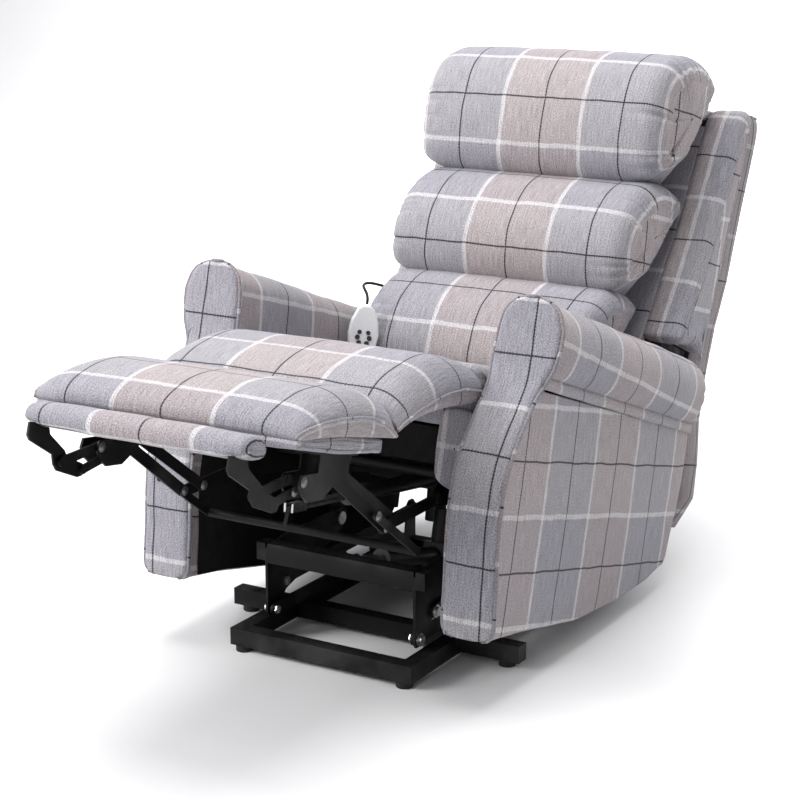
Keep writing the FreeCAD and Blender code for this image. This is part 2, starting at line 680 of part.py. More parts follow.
def handset_cable():
    wall_x = -268.5    # the cable ends run along the inside of the arm
    points = [Vector(HAND_X, HAND_Y, HAND_Z + 49),
              Vector(HAND_X - 1, HAND_Y + 1, HAND_Z + 62),
              Vector(HAND_X - 26, HAND_Y + 22, HAND_Z + 84),
              Vector(wall_x, HAND_Y + 60, HAND_Z + 94),
              Vector(wall_x, HAND_Y + 126, HAND_Z + 94)]
    curve = Part.BSplineCurve()
    curve.interpolate(points)
    path = Part.Wire([curve.toShape()])
    direction = curve.tangent(curve.FirstParameter)[0]
    profile = Part.Wire([Part.Circle(points[0], direction, 3.0).toShape()])
    return path.makePipeShell([profile], True, True)


# ----------------------------- placing and export ----------------------------
# Each of these pieces takes the name of its function
BASE_PIECES = (floor_frame, floor_feet, floor_pivot_pins, lift_arm_lower, lift_arm_upper,
               carriage_frame, carriage_bolts, lift_arm_screws)
BODY_PIECES = (seat_chassis, seat_box_frame, seat_springs, seat_pivot_pins, control_box,
               arm_brackets, seat_side_cheeks, dust_cloths, leg_link_base, leg_link_rear,
               leg_link_rear_second, footrest_frame, footrest_board, leg_link_front,
               leg_link_front_second, foot_flap_frame, foot_flap_pad, drive_yoke, back_frame,
               recline_pivot_pins, back_springs, wing_right, wing_left, back_shell,
               back_top_panel, handset_shell, handset_cable)


def export(name, shape, tilted=True):
    """Place a piece and write its file; a compound of one solid is unwrapped."""
    if shape.ShapeType == "Compound" and len(shape.Solids) == 1:
        shape = shape.Solids[0]
    placed = shape.copy()
    if tilted:
        placed.rotate(Vector(0, 0, 0), Vector(1, 0, 0), -TILT)
    placed.translate(Vector(0, Y_SHIFT, 0))
    placed.exportStep("parts/%s.step" % name)


os.makedirs("parts", exist_ok=True)
for build in BASE_PIECES:
    export(build.__name__, build(), tilted=False)
for build in BODY_PIECES:
    export(build.__name__, build())
for build in (arm_panel, arm_roll, arm_front):
    arm_piece = build()
    key = build.__name__.replace("arm_", "")
    export("arm_right_" + key, arm_piece)
    export("arm_left_" + key, flip(arm_piece))
for name, (half_width, radius, outline) in PADS.items():
    export(name, soften(prism(outline, -half_width, half_width), radius))
for name, place in BUTTONS.items():
    export("button_" + name, button(*place))
for name, spec in (("lift", LIFT_MOTOR), ("footrest", FOOTREST_MOTOR),
                   ("recline", RECLINE_MOTOR)):
    tube, rod = motor(**spec)
    export(name + "_motor_tube", tube, tilted=name != "lift")
    export(name + "_motor_rod", rod, tilted=name != "lift")
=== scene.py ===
"""Electric lift recliner in a soft woven check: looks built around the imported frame."""
import json
import math

import bpy
import numpy as np
from mathutils import Matrix, Vector

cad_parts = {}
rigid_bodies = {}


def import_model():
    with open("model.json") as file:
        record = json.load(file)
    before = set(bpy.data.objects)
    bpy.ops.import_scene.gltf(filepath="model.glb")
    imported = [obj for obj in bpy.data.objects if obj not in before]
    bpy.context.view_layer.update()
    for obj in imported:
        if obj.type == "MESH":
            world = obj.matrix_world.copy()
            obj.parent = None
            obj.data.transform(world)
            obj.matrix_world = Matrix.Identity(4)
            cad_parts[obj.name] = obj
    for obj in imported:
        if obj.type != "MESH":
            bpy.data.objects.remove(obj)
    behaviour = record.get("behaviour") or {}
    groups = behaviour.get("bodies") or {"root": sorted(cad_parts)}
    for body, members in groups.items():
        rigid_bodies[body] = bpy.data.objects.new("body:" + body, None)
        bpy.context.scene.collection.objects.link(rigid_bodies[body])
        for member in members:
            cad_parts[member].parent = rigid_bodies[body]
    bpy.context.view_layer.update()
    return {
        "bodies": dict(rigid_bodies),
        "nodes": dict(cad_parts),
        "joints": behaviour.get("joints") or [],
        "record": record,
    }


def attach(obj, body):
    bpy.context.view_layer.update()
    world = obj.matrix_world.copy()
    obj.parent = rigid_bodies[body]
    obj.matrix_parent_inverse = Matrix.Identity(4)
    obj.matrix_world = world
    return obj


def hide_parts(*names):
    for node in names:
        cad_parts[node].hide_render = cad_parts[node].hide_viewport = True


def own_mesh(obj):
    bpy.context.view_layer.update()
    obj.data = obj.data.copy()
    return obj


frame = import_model()

TILT = math.radians(14.7)
Y_SHIFT = -346.76
CT, ST = math.cos(TILT), math.sin(TILT)


def W(p):
    """Body coordinates in mm (..., 3) to the row frame in metres."""
    p = np.asarray(p, float)
    x, y, z = p[..., 0], p[..., 1], p[..., 2]
    return np.stack([x, y * CT + z * ST + Y_SHIFT, -y * ST + z * CT], -1) / 1000.0


def smooth(a, b, t):
    t = np.clip((t - a) / (b - a), 0, 1)
    return t * t * (3 - 2 * t)


# ------------------------------ materials ----------------------------------
class Nodes:
    def __init__(self, name):
        self.mat = bpy.data.materials.new(name)
        self.mat.use_nodes = True
        self.t = self.mat.node_tree
        self.b = next(n for n in self.t.nodes if n.type == "BSDF_PRINCIPLED")

    def put(self, socket, v):
        if hasattr(v, "is_output") or isinstance(v, bpy.types.NodeSocket):
            self.t.links.new(v, socket)
        elif v is not None:
            socket.default_value = v

    def m(self, op, a, b=None, c=None, clamp=False):
        n = self.t.nodes.new("ShaderNodeMath")
        n.operation = op
        n.use_clamp = clamp
        self.put(n.inputs[0], a)
        self.put(n.inputs[1], b)
        self.put(n.inputs[2], c)
        return n.outputs[0]

    def step(self, lo, hi, x):
        n = self.t.nodes.new("ShaderNodeMapRange")
        n.interpolation_type = "SMOOTHSTEP"
        self.put(n.inputs["Value"], x)
        n.inputs["From Min"].default_value = lo
        n.inputs["From Max"].default_value = hi
        return n.outputs[0]

    def mix(self, f, a, b, mode="MIX"):
        n = self.t.nodes.new("ShaderNodeMix")
        n.data_type = "RGBA"
        n.blend_type = mode
        self.put(n.inputs[0], f)
        ins = [i for i in n.inputs if i.type == "RGBA"]
        self.put(ins[0], (*a, 1) if isinstance(a, tuple) and len(a) == 3 else a)
        self.put(ins[1], (*b, 1) if isinstance(b, tuple) and len(b) == 3 else b)
        return next(o for o in n.outputs if o.type == "RGBA")

    def noise(self, vec, scale, detail=2.0, rough=0.5):
        n = self.t.nodes.new("ShaderNodeTexNoise")
        if vec is not None:
            self.t.links.new(vec, n.inputs["Vector"])
        n.inputs["Scale"].default_value = scale
        n.inputs["Detail"].default_value = detail
        n.inputs["Roughness"].default_value = rough
        return n.outputs[0]

    def uv(self, name=None):
        n = self.t.nodes.new("ShaderNodeUVMap")
        if name:
            n.uv_map = name
        return n.outputs[0]

    def obj(self):
        return self.t.nodes.new("ShaderNodeTexCoord").outputs["Object"]

    def split(self, vec):
        n = self.t.nodes.new("ShaderNodeSeparateXYZ")
        self.t.links.new(vec, n.inputs[0])
        return n.outputs[0], n.outputs[1], n.outputs[2]

    def join(self, x, y, z=0.0):
        n = self.t.nodes.new("ShaderNodeCombineXYZ")
        for i, v in enumerate((x, y, z)):
            self.put(n.inputs[i], v)
        return n.outputs[0]

    def bump(self, h, strength, dist):
        n = self.t.nodes.new("ShaderNodeBump")
        n.inputs["Strength"].default_value = strength
        n.inputs["Distance"].default_value = dist
        self.t.links.new(h, n.inputs["Height"])
        self.t.links.new(n.outputs[0], self.b.inputs["Normal"])


def plaid(name, dark=1.0):
    """Woven check: 98 mm half repeat, white bars and fine dark zig-zag lines, UV in metres."""
    k = Nodes(name)
    u0, v0, _ = k.split(k.uv("plaid"))
    base = k.join(u0, v0)
    wob = k.m("MULTIPLY", k.m("SUBTRACT", k.noise(base, 14.0, 1.0), 0.5), 0.006)
    wob2 = k.m("MULTIPLY", k.m("SUBTRACT", k.noise(base, 17.0, 1.0), 0.5), 0.006)
    fuzz = k.m("MULTIPLY", k.m("SUBTRACT", k.noise(base, 900.0, 1.0), 0.5), 0.0030)
    u = k.m("ADD", u0, wob)
    v = k.m("ADD", v0, wob2)

    def lines(a, other):
        f = k.m("FRACT", k.m("DIVIDE", a, 0.196))
        d = k.m("MULTIPLY", k.m("ABSOLUTE", k.m("SUBTRACT", f, 0.5)), 0.196)
        dw = k.m("ADD", d, fuzz)
        white = k.m("SUBTRACT", 1.0, k.step(0.0034, 0.0056, dw))
        zig = k.m("MULTIPLY", k.m("ABSOLUTE", k.m("SUBTRACT", k.m("FRACT", k.m("DIVIDE", other, 0.006)), 0.5)), 0.0018)
        db = k.m("ABSOLUTE", k.m("SUBTRACT", k.m("SUBTRACT", 0.098, d), k.m("SUBTRACT", zig, 0.00045)))
        db = k.m("ADD", db, k.m("MULTIPLY", fuzz, 0.5))
        black = k.m("SUBTRACT", 1.0, k.step(0.0009, 0.0024, db))
        band = k.m("FRACT", k.m("ADD", k.m("DIVIDE", a, 0.392), 0.25))
        tri = k.m("ABSOLUTE", k.m("SUBTRACT", band, 0.5))      # 0.25 at the white bars
        return white, black, k.m("GREATER_THAN", band, 0.5), tri

    wu, bu, gu, _ = lines(u, v)
    wv, bv, gv, _ = lines(v, u)
    taupe, grey = (0.318, 0.272, 0.274), (0.262, 0.256, 0.288)
    mauve, cream = (0.258, 0.246, 0.272), (0.318, 0.300, 0.306)
    warp = k.mix(gu, taupe, grey)
    weft = k.mix(gv, mauve, cream)
    col = k.mix(0.42, warp, weft)
    # heathered yarn: fine grains stretched along each thread direction, plus coarser flecks
    g1 = k.noise(k.join(k.m("MULTIPLY", u0, 1.0), k.m("MULTIPLY", v0, 0.35)), 900.0, 1.0, 0.6)
    g2 = k.noise(k.join(k.m("MULTIPLY", u0, 0.35), k.m("MULTIPLY", v0, 1.0)), 900.0, 1.0, 0.6)
    g3 = k.noise(base, 420.0, 2.0, 0.7)
    slub = k.noise(k.join(k.m("MULTIPLY", u0, 1.0), k.m("MULTIPLY", v0, 0.07)), 380.0, 1.0, 0.5)
    grain = k.m("ADD", k.m("MULTIPLY", k.m("ADD", g1, g2), 0.5), k.m("MULTIPLY", g3, 0.55))
    grain = k.m("ADD", grain, k.m("MULTIPLY", slub, 0.30))
    grain = k.m("SUBTRACT", grain, 0.925)
    lum = k.m("MAXIMUM", k.m("ADD", 1.0, k.m("MULTIPLY", grain, 2.7)), 0.22)
    white = k.m("MINIMUM", k.m("ADD", k.m("MULTIPLY", wu, 0.62), k.m("MULTIPLY", wv, 0.62)), 1.0)
    col = k.mix(white, col, (0.55, 0.535, 0.55))
    black = k.m("MULTIPLY", k.m("MAXIMUM", bu, bv), k.m("SUBTRACT", 0.95, k.m("MULTIPLY", white, 0.30)))
    col = k.mix(black, col, (0.020, 0.020, 0.025))
    rgb = k.join(lum, lum, lum)
    col = k.mix(1.0, col, rgb, "MULTIPLY")
    # optional overall darkening of the whole check: painted shade, used to make shaded copies of the same cloth
    if dark != 1.0:
        col = k.mix(1.0, col, (dark, dark, dark), "MULTIPLY")
    k.t.links.new(col, k.b.inputs["Base Color"])
    k.b.inputs["Roughness"].default_value = 0.94
    for key, val in (("Sheen Weight", 0.10), ("Sheen Roughness", 0.5), ("Specular IOR Level", 0.15)):
        if key in k.b.inputs:
            k.b.inputs[key].default_value = val
    rib = k.m("MULTIPLY", k.m("SINE", k.m("MULTIPLY", u0, 3600.0)), k.m("SINE", k.m("MULTIPLY", v0, 3600.0)))
    h = k.m("ADD", k.m("MULTIPLY", grain, 1.0), k.m("MULTIPLY", rib, 0.10))
    k.bump(h, 0.5, 0.0014)
    return k.mat


def steel(name, tone=0.0035, rough=0.50):
    """Satin black powder coat with fine orange peel, rubbed edges and dust on top faces."""
    k = Nodes(name)
    o = k.obj()
    peel = k.noise(o, 700.0, 2.0)
    big = k.noise(o, 9.0, 3.0, 0.6)
    geo = k.t.nodes.new("ShaderNodeNewGeometry")
    nz = k.split(geo.outputs["Normal"])[2]
    dust = k.m("MULTIPLY", k.step(0.5, 1.0, nz), k.step(0.42, 0.7, k.noise(o, 40.0, 4.0, 0.65)))
    edge = k.step(0.53, 0.62, geo.outputs["Pointiness"])
    col = k.mix(k.m("MULTIPLY", dust, 0.05), (tone, tone, tone * 1.06), (0.11, 0.105, 0.10))
    col = k.mix(k.m("MULTIPLY", edge, k.step(0.35, 0.7, big)), col, (0.030, 0.029, 0.028))
    k.t.links.new(col, k.b.inputs["Base Color"])
    r = k.m("ADD", rough - 0.06, k.m("MULTIPLY", big, 0.14))
    r = k.m("ADD", r, k.m("MULTIPLY", dust, 0.3))
    k.t.links.new(r, k.b.inputs["Roughness"])
    k.b.inputs["Metallic"].default_value = 0.0
    k.b.inputs["Specular IOR Level"].default_value = 0.17
    k.bump(peel, 0.12, 0.0006)
    return k.mat


def bright(name, tone=0.62, rough=0.26):
    """Zinc-plated or ground steel with turning marks and light tarnish."""
    k = Nodes(name)
    o = k.obj()
    x, y, z = k.split(o)
    brush = k.noise(k.join(k.m("MULTIPLY", x, 6.0), y, z), 900.0, 2.0, 0.6)
    tarn = k.noise(o, 60.0, 4.0, 0.6)
    col = k.mix(k.step(0.45, 0.75, tarn), (tone, tone, tone * 1.01), (tone * 0.62, tone * 0.6, tone * 0.56))
    k.t.links.new(col, k.b.inputs["Base Color"])
    k.b.inputs["Metallic"].default_value = 1.0
    k.t.links.new(k.m("ADD", rough, k.m("MULTIPLY", brush, 0.22)), k.b.inputs["Roughness"])
    k.bump(brush, 0.10, 0.0004)
    return k.mat


def plastic(name, col, rough=0.45, grain=0.10, spec=0.5):
    k = Nodes(name)
    o = k.obj()
    tex = k.noise(o, 1400.0, 2.0, 0.6)
    blot = k.noise(o, 25.0, 3.0)
    c2 = tuple(c * 0.88 for c in col)
    k.t.links.new(k.mix(blot, col, c2), k.b.inputs["Base Color"])
    k.t.links.new(k.m("ADD", rough, k.m("MULTIPLY", k.m("SUBTRACT", blot, 0.5), 0.15)), k.b.inputs["Roughness"])
    k.b.inputs["Specular IOR Level"].default_value = spec
    k.bump(tex, grain, 0.0004)
    return k.mat


def timber(name):
    k = Nodes(name)
    x, y, z = k.split(k.obj())
    ring = k.noise(k.join(k.m("MULTIPLY", x, 9.0), k.m("MULTIPLY", y, 0.8), k.m("MULTIPLY", z, 9.0)), 9.0, 4.0, 0.6)
    fibre = k.noise(k.join(k.m("MULTIPLY", x, 30.0), y, k.m("MULTIPLY", z, 30.0)), 30.0, 3.0, 0.6)
    col = k.mix(k.step(0.35, 0.65, ring), (0.56, 0.40, 0.24), (0.40, 0.27, 0.15))
    col = k.mix(k.m("MULTIPLY", fibre, 0.35), col, (0.30, 0.20, 0.11))
    k.t.links.new(col, k.b.inputs["Base Color"])
    k.b.inputs["Roughness"].default_value = 0.68
    k.bump(fibre, 0.25, 0.0006)
    return k.mat


def blackcloth(name):
    k = Nodes(name)
    o = k.obj()
    f = k.noise(o, 500.0, 3.0, 0.7)
    m2 = k.noise(o, 40.0, 3.0, 0.6)
    k.t.links.new(k.mix(m2, (0.006, 0.006, 0.007), (0.020, 0.020, 0.021)), k.b.inputs["Base Color"])
    k.b.inputs["Roughness"].default_value = 0.97
    k.b.inputs["Specular IOR Level"].default_value = 0.12
    k.bump(f, 0.4, 0.0008)
    return k.mat


PLAID = plaid("woven_check")
# darker copy of the same check for the back shell: painted shade, the cloth is the same
PLAID_SHADE = plaid("woven_check_back_painted_shade", 0.80)
# darker copy of the check for the piping cords: painted shade in place of the shadow lines along each cord
CORD = plaid("woven_check_cord_painted_shade", 0.86)
STEEL = steel("satin_black_steel")
PIN = bright("plated_steel")
ROD = bright("ground_rod", 0.68, 0.18)
MOTOR = plastic("motor_housing", (0.022, 0.022, 0.024), 0.5, 0.3)
WHITE = plastic("handset_shell_white", (0.80, 0.81, 0.83), 0.28, 0.03)
KEY = plastic("soft_keys", (0.030, 0.030, 0.034), 0.6, 0.2)
RUBBER = plastic("rubber_black", (0.014, 0.014, 0.014), 0.75, 0.3, 0.3)
WOOD = timber("softwood")
CLOTH = blackcloth("dust_cloth")
RIVET_MAT = bright("rivet_zinc", 0.20, 0.34)
SLOT_MAT = {"steel": STEEL, "pin_steel": PIN, "foot_rubber": RUBBER, "motor_plastic": MOTOR, "rod_steel": ROD,
            "timber": WOOD, "plaid_fabric": PLAID, "black_cloth": CLOTH, "handset_white": WHITE,
            "button_black": KEY, "cable_black": RUBBER}
slot_of = {s["node"]: s["material_slot"] for s in frame["record"]["subparts"]}
for n, o in frame["nodes"].items():
    o.data.materials.clear()
    o.data.materials.append(SLOT_MAT[slot_of[n]])


# ------------------------------ mesh tools ---------------------------------
def add_mesh(name, verts, faces, uvs, mat, body, replaces=(), seam=None, smooth_shade=True):
    me = bpy.data.meshes.new(name)
    me.from_pydata([tuple(v) for v in verts], [], [tuple(f) for f in faces])
    layer = me.uv_layers.new(name="plaid")
    flat = np.array([uvs[i] for i in range(len(uvs))], float).reshape(-1)
    layer.data.foreach_set("uv", flat.astype(np.float32))
    if smooth_shade:
        me.polygons.foreach_set("use_smooth", [True] * len(me.polygons))
    me.materials.append(mat)
    me.validate()
    o = bpy.data.objects.new(name, me)
    bpy.context.scene.collection.objects.link(o)
    if body:
        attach(o, body)
    if replaces:
        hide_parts(*replaces)
    return o


class Builder:
    """Collects grids into one mesh with a UV per corner."""

    def __init__(self):
        self.v, self.f, self.uv, self.n = [], [], [], 0

    def grid(self, P, UV, close=False, flipn=False):
        """P (ni, nj, 3) in body mm; UV (ni, nj or nj+1, 2) in mm."""
        ni, nj = P.shape[:2]
        self.v.append(P.reshape(-1, 3))
        lim = nj if close else nj - 1
        i = np.arange(ni - 1)[:, None]
        j = np.arange(lim)[None, :]
        j2 = (j + 1) % nj if close else j + 1
        a, b = i * nj + j, i * nj + j2
        c, d = (i + 1) * nj + j2, (i + 1) * nj + j
        q = np.stack([a + 0 * b, b, c, d], -1).reshape(-1, 4) + self.n
        ju = j + 1
        uq = np.stack([UV[i, j], UV[i, ju], UV[i + 1, ju], UV[i + 1, j]], 2).reshape(-1, 4, 2) / 1000.0
        if flipn:
            q, uq = q[:, ::-1], uq[:, ::-1]
        self.f.append(q)
        self.uv.append(uq)
        self.n += ni * nj

    def make(self, name, mat, body, replaces=(), weld=0.0002, mirror=False, world=False):
        v = np.concatenate(self.v)
        f = np.concatenate(self.f)
        uv = np.concatenate(self.uv)
        if mirror:
            v = v * np.array([-1, 1, 1])
            f, uv = f[:, ::-1], uv[:, ::-1]
        o = add_mesh(name, v / 1000.0 if world else W(v), f, uv.reshape(-1, 2), mat, None, ())
        if weld:
            import bmesh
            bm = bmesh.new()
            bm.from_mesh(o.data)
            bmesh.ops.remove_doubles(bm, verts=bm.verts, dist=weld)
            bmesh.ops.dissolve_degenerate(bm, edges=bm.edges, dist=1e-6)
            bm.to_mesh(o.data)
            bm.free()
            o.data.polygons.foreach_set("use_smooth", [True] * len(o.data.polygons))
        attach(o, body)
        if replaces:
            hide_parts(*replaces)
        return o


def resample(pts, n, close=False, power=1):
    pts = np.asarray(pts, float)
    q = np.vstack([pts, pts[:1]]) if close else pts
    s = np.r_[0, np.cumsum(np.linalg.norm(np.diff(q, axis=0), axis=1))]
    t = np.linspace(0, s[-1], n + 1)[:-1] if close else np.linspace(0, s[-1], n)
    return np.stack([np.interp(t, s, q[:, k]) for k in range(q.shape[1])], -1), t, s[-1]


def curve(pts, close=False, rounds=3):
    """Chaikin rounding of a control polygon (keeps the ends of an open one)."""
    p = np.asarray(pts, float)
    for _ in range(rounds):
        if close:
            q = np.roll(p, -1, 0)
            p = np.stack([0.75 * p + 0.25 * q, 0.25 * p + 0.75 * q], 1).reshape(-1, p.shape[1])
        else:
            a, b = p[:-1], p[1:]
            mid = np.stack([0.75 * a + 0.25 * b, 0.25 * a + 0.75 * b], 1).reshape(-1, p.shape[1])
            p = np.vstack([p[:1], mid[1:-1], p[-1:]]) if len(p) > 2 else p
    return p


def rounded(pts, rad, close=True, n=6):
    """Round the corners of a polygon with a limited radius."""
    p = np.asarray(pts, float)
    out = []
    m = len(p)
    for i in range(m):
        if not close and i in (0, m - 1):
            out.append(p[i])
            continue
        a, b, c = p[i - 1], p[i], p[(i + 1) % m]
        la, lc = np.linalg.norm(a - b), np.linalg.norm(c - b)
        d = min(rad, 0.45 * la, 0.45 * lc)
        q0, q1 = b + (a - b) / la * d, b + (c - b) / lc * d
        for t in np.linspace(0, 1, n):
            out.append((1 - t) ** 2 * q0 + 2 * t * (1 - t) * b + t ** 2 * q1)
    return np.array(out)


def normals2(P, close):
    """Unit outward normals of a 2-D curve walked so that the outside is on the left after the sign fix."""
    if close:
        d = np.roll(P, -1, 0) - np.roll(P, 1, 0)
    else:
        d = np.gradient(P, axis=0)
    d /= np.linalg.norm(d, axis=1, keepdims=True) + 1e-9
    n = np.stack([-d[:, 1], d[:, 0]], -1)
    return n


def area2(P):
    x, y = P[:, 0], P[:, 1]
    return 0.5 * np.sum(x * np.roll(y, -1) - y * np.roll(x, -1))


def rnd(seed):
    return np.random.RandomState(seed)


def pleats(s, total, seed, n, sharp=2.0):
    """Irregular pleat function of arc length in 0..1, 1 in a crease."""
    r = rnd(seed)
    out = np.zeros_like(s)
    for c in np.sort(r.uniform(0, total, n)):
        w = r.uniform(3.2, 6.5)
        d = np.abs((s - c + total / 2) % total - total / 2)
        out = np.maximum(out, r.uniform(0.5, 1.0) * np.exp(-(d / w) ** sharp))
    return out


def padded(name, ctrl, xh, r, body, replaces, u_off=0.0, v_off=0.0, ns=220, nx=90, closed=True, crown=5.0,
           pull=6.0, gather=3.0, reach=70.0, npl=26, seed=1, cap_bulge=6.0, where=None, x_mid=0.0, rounds=3,
           mat=None, corner=None, v_start=None, sag=None, seam_in=2.5, flat=None, u_scale=1.0,
           cap_dir="upright", wedge=None, taper=0.0):
    """A sewn cushion: the section ctrl (y, z) runs across X from -xh to xh, rolls over a radius r at each
    end and closes on a gathered end panel. Pattern U runs across X, V around the section."""
    P, s, total = resample(rounded(ctrl, corner, closed) if corner else curve(ctrl, closed, rounds), ns, closed)
    N = normals2(P, closed)
    cen = P.mean(0)
    if np.mean(np.sum((P - cen) * N, 1)) < 0:
        N = -N
    sv = s - (v_start if v_start is not None else 0.0) + v_off
    svx = np.r_[sv, sv[-1] + total / ns] if closed else sv
    rows, U = [], []
    core = np.linspace(-(xh - r), xh - r, nx)
    th = np.linspace(0, math.pi / 2, 11)[1:]
    caps = np.array([0.92, 0.80, 0.62, 0.42, 0.22, 0.04])
    wrink = rnd(seed + 7)
    pl_r, pl_l = pleats(s, total, seed, npl), pleats(s, total, seed + 50, npl)
    gate = np.ones(ns) if where is None else where(P)
    capgrid = []
    k1, k2, ph1, ph2 = wrink.uniform(0.010, 0.018), wrink.uniform(0.020, 0.034), wrink.uniform(0, 6), wrink.uniform(0, 6)

    def ring(x, inset, arc, side):
        d_end = max(0.0, (xh + 0.57 * r) - abs(arc))
        ff = math.exp(-(d_end / reach) ** 1.3)
        pl = pl_r if side > 0 else pl_l
        off = -inset - gather * ff * pl * gate
        off = off + crown * (1 - (abs(x) / xh) ** 2.4) * (flat(P) if flat is not None else 1.0)
        off = off - pull * math.exp(-((xh - abs(x)) / 26.0) ** 2) * 0.25
        off = off + 0.9 * np.sin(k1 * s * 2 + x * k2 + ph1) * np.sin(x * k1 * 1.7 + ph2)
        Q = P + N * np.asarray(off)[:, None]
        if sag is not None:
            Q = Q + sag(P, x)
        if wedge is not None:
            (ay, az), (by, bz), amt, x0 = wedge
            t = np.array([by - ay, bz - az]) / math.hypot(by - ay, bz - az)
            nr = np.array([t[1], -t[0]])
            d = np.maximum((Q - np.array([ay, az])) @ nr, 0.0)
            Q = Q - nr * (amt * float(smooth(x0, xh, abs(x))) * d)[:, None]
        xx = x * (1 - (taper if x > 0 else -0.018) * (1 - smooth(0, 110, P[:, 0] - P[:, 0].min()))) + x_mid
        return np.stack([xx, Q[:, 0], Q[:, 1]], -1)

    def end(side):
        out, us = [], []
        for t in th:
            inset = r * (1 - math.cos(t))
            x = side * (xh - r + r * math.sin(t))
            out.append(ring(x, inset, side * (xh - r + r * t), side))
            us.append(side * (xh - r + r * t))
        last = out[-1]
        # end seam: a narrow groove, then the end panel
        c = last.mean(0)
        ring_c = []
        for q in caps:
            R = c + (last - c) * q
            R[:, 0] += side * (cap_bulge * (1 - q ** 2) - (seam_in if q > 0.9 else 0))
            ring_c.append(R)
        capgrid.append((side, [last] + ring_c))
        return out, us

    oR, uR = end(1)
    oL, uL = end(-1)
    rows = list(reversed(oL)) + [ring(x, 0.0, x, 1 if x > 0 else -1) for x in core] + oR
    U = list(reversed(uL)) + list(core) + uR
    P3 = np.array(rows)
    UV = np.zeros((len(rows), len(svx), 2))
    UV[..., 0] = (np.array(U) * u_scale)[:, None] + u_off
    UV[..., 1] = svx[None, :]
    b = Builder()
    b.grid(P3, UV, close=closed, flipn=False)
    for side, rings in capgrid:
        Cg = np.array(rings)
        Cx = np.concatenate([Cg, Cg[:, :1]], 1) if closed else Cg
        kf = int(np.argmin(P[:, 0]))
        ue = xh - r + r * math.pi / 2
        if cap_dir == "upright":
            ud = side * (ue * u_scale + 4 + 0.9 * (Cx[..., 1] - P[kf, 0]))
            vd = svx[kf] + (P[kf, 1] - Cx[..., 2])
        else:
            kt = int(np.argmax(P[:, 1]))
            ud = side * (ue * u_scale + 4 + 0.9 * (P[kt, 1] - Cx[..., 2]))
            vd = svx[kt] - (Cx[..., 1] - P[kt, 0])
        b.grid(Cg, np.stack([ud + u_off, vd], -1), close=closed)
    o = b.make(name, mat or PLAID, body, replaces)
    fix_normals(o)
    return o, P, N, s


def fix_normals(o):
    import bmesh
    bm = bmesh.new()
    bm.from_mesh(o.data)
    bmesh.ops.recalc_face_normals(bm, faces=bm.faces)
    bm.to_mesh(o.data)
    bm.free()


def piping(name, pts, body, r=3.2, mat=None, u_off=0.0, closed=False, world=False):
    """Self-covered cord along pts (body mm)."""
    p = np.asarray(pts, float)
    n = max(24, int(np.sum(np.linalg.norm(np.diff(p, axis=0), axis=1)) / 5))
    P, s, total = resample(p, n, closed)
    T = (np.roll(P, -1, 0) - np.roll(P, 1, 0)) if closed else np.gradient(P, axis=0)
    T /= np.linalg.norm(T, axis=1, keepdims=True) + 1e-9
    ref = np.array([0.31, 0.22, 0.92])
    A = np.cross(T, ref)
    A /= np.linalg.norm(A, axis=1, keepdims=True) + 1e-9
    B = np.cross(T, A)
    m = 10
    ang = np.linspace(0, 2 * math.pi, m, endpoint=False)
    wob = 1 + 0.05 * np.sin(s * 0.35)[:, None]
    G = P[:, None, :] + r * wob[..., None] * (np.cos(ang)[None, :, None] * A[:, None, :] +
                                               np.sin(ang)[None, :, None] * B[:, None, :])
    UV = np.zeros((len(P), m + 1, 2))
    UV[..., 0] = s[:, None] + u_off
    UV[..., 1] = np.linspace(0, 2 * math.pi * r, m + 1)[None, :] + 30
    b = Builder()
    b.grid(G, UV, close=True)
    o = b.make(name, mat or PLAID, body, weld=0)
    fix_normals(o)
    return o


def coons(bottom, top, left, right, nu, nv, su=None, sv=None):
    """Transfinite patch between four 2-D boundary curves; u runs left to right, v bottom to top."""
    su = np.linspace(0, 1, nu) if su is None else su
    sv = np.linspace(0, 1, nv) if sv is None else sv

    def at(c, t):
        c = np.asarray(c, float)
        s = np.r_[0, np.cumsum(np.linalg.norm(np.diff(c, axis=0), axis=1))]
        s /= s[-1]
        return np.stack([np.interp(t, s, c[:, k]) for k in range(c.shape[1])], -1)

    Bm, Tp, L, R = at(bottom, su), at(top, su), at(left, sv), at(right, sv)
    U, Vv = su[:, None, None], sv[None, :, None]
    P = (1 - Vv) * Bm[:, None] + Vv * Tp[:, None] + (1 - U) * L[None] + U * R[None]
    P -= ((1 - U) * (1 - Vv) * Bm[0] + U * (1 - Vv) * Bm[-1] + (1 - U) * Vv * Tp[0] + U * Vv * Tp[-1])
    return P, U[..., 0], Vv[..., 0]


def edge_spacing(n, length, edge):
    """Parameter values 0..1 with extra rows inside the first and last edge mm."""
    e = edge / length
    a = e * (1 - np.cos(np.linspace(0, math.pi / 2, 6)))
    core = np.linspace(e, 1 - e, n)
    return np.unique(np.r_[a, core, 1 - a])


# ------------------------------ back cushions ------------------------------
HEAD = [(774, 999), (806, 1090), (828, 1158), (852, 1205), (858, 1236), (830, 1262), (778, 1278), (712, 1276),
        (650, 1256), (612, 1220), (592, 1172), (585, 1120), (588, 1070), (598, 1026), (622, 998), (662, 990), (720, 991)]
MID = [(668, 752), (696, 812), (747, 925), (776, 968), (764, 994), (700, 1003), (634, 1000), (578, 976), (538, 938),
       (514, 898), (503, 858), (503, 818), (518, 780), (548, 757), (610, 748)]
LUM = [(600, 584), (653, 718), (648, 752), (600, 768), (548, 772), (500, 760), (464, 736), (430, 702), (410, 662),
       (401, 618), (402, 585), (418, 570), (545, 566), (586, 570)]


def front_gate(P):
    return 0.25 + 0.75 * smooth(0, 60, P[:, 1] - P[:, 1].min())


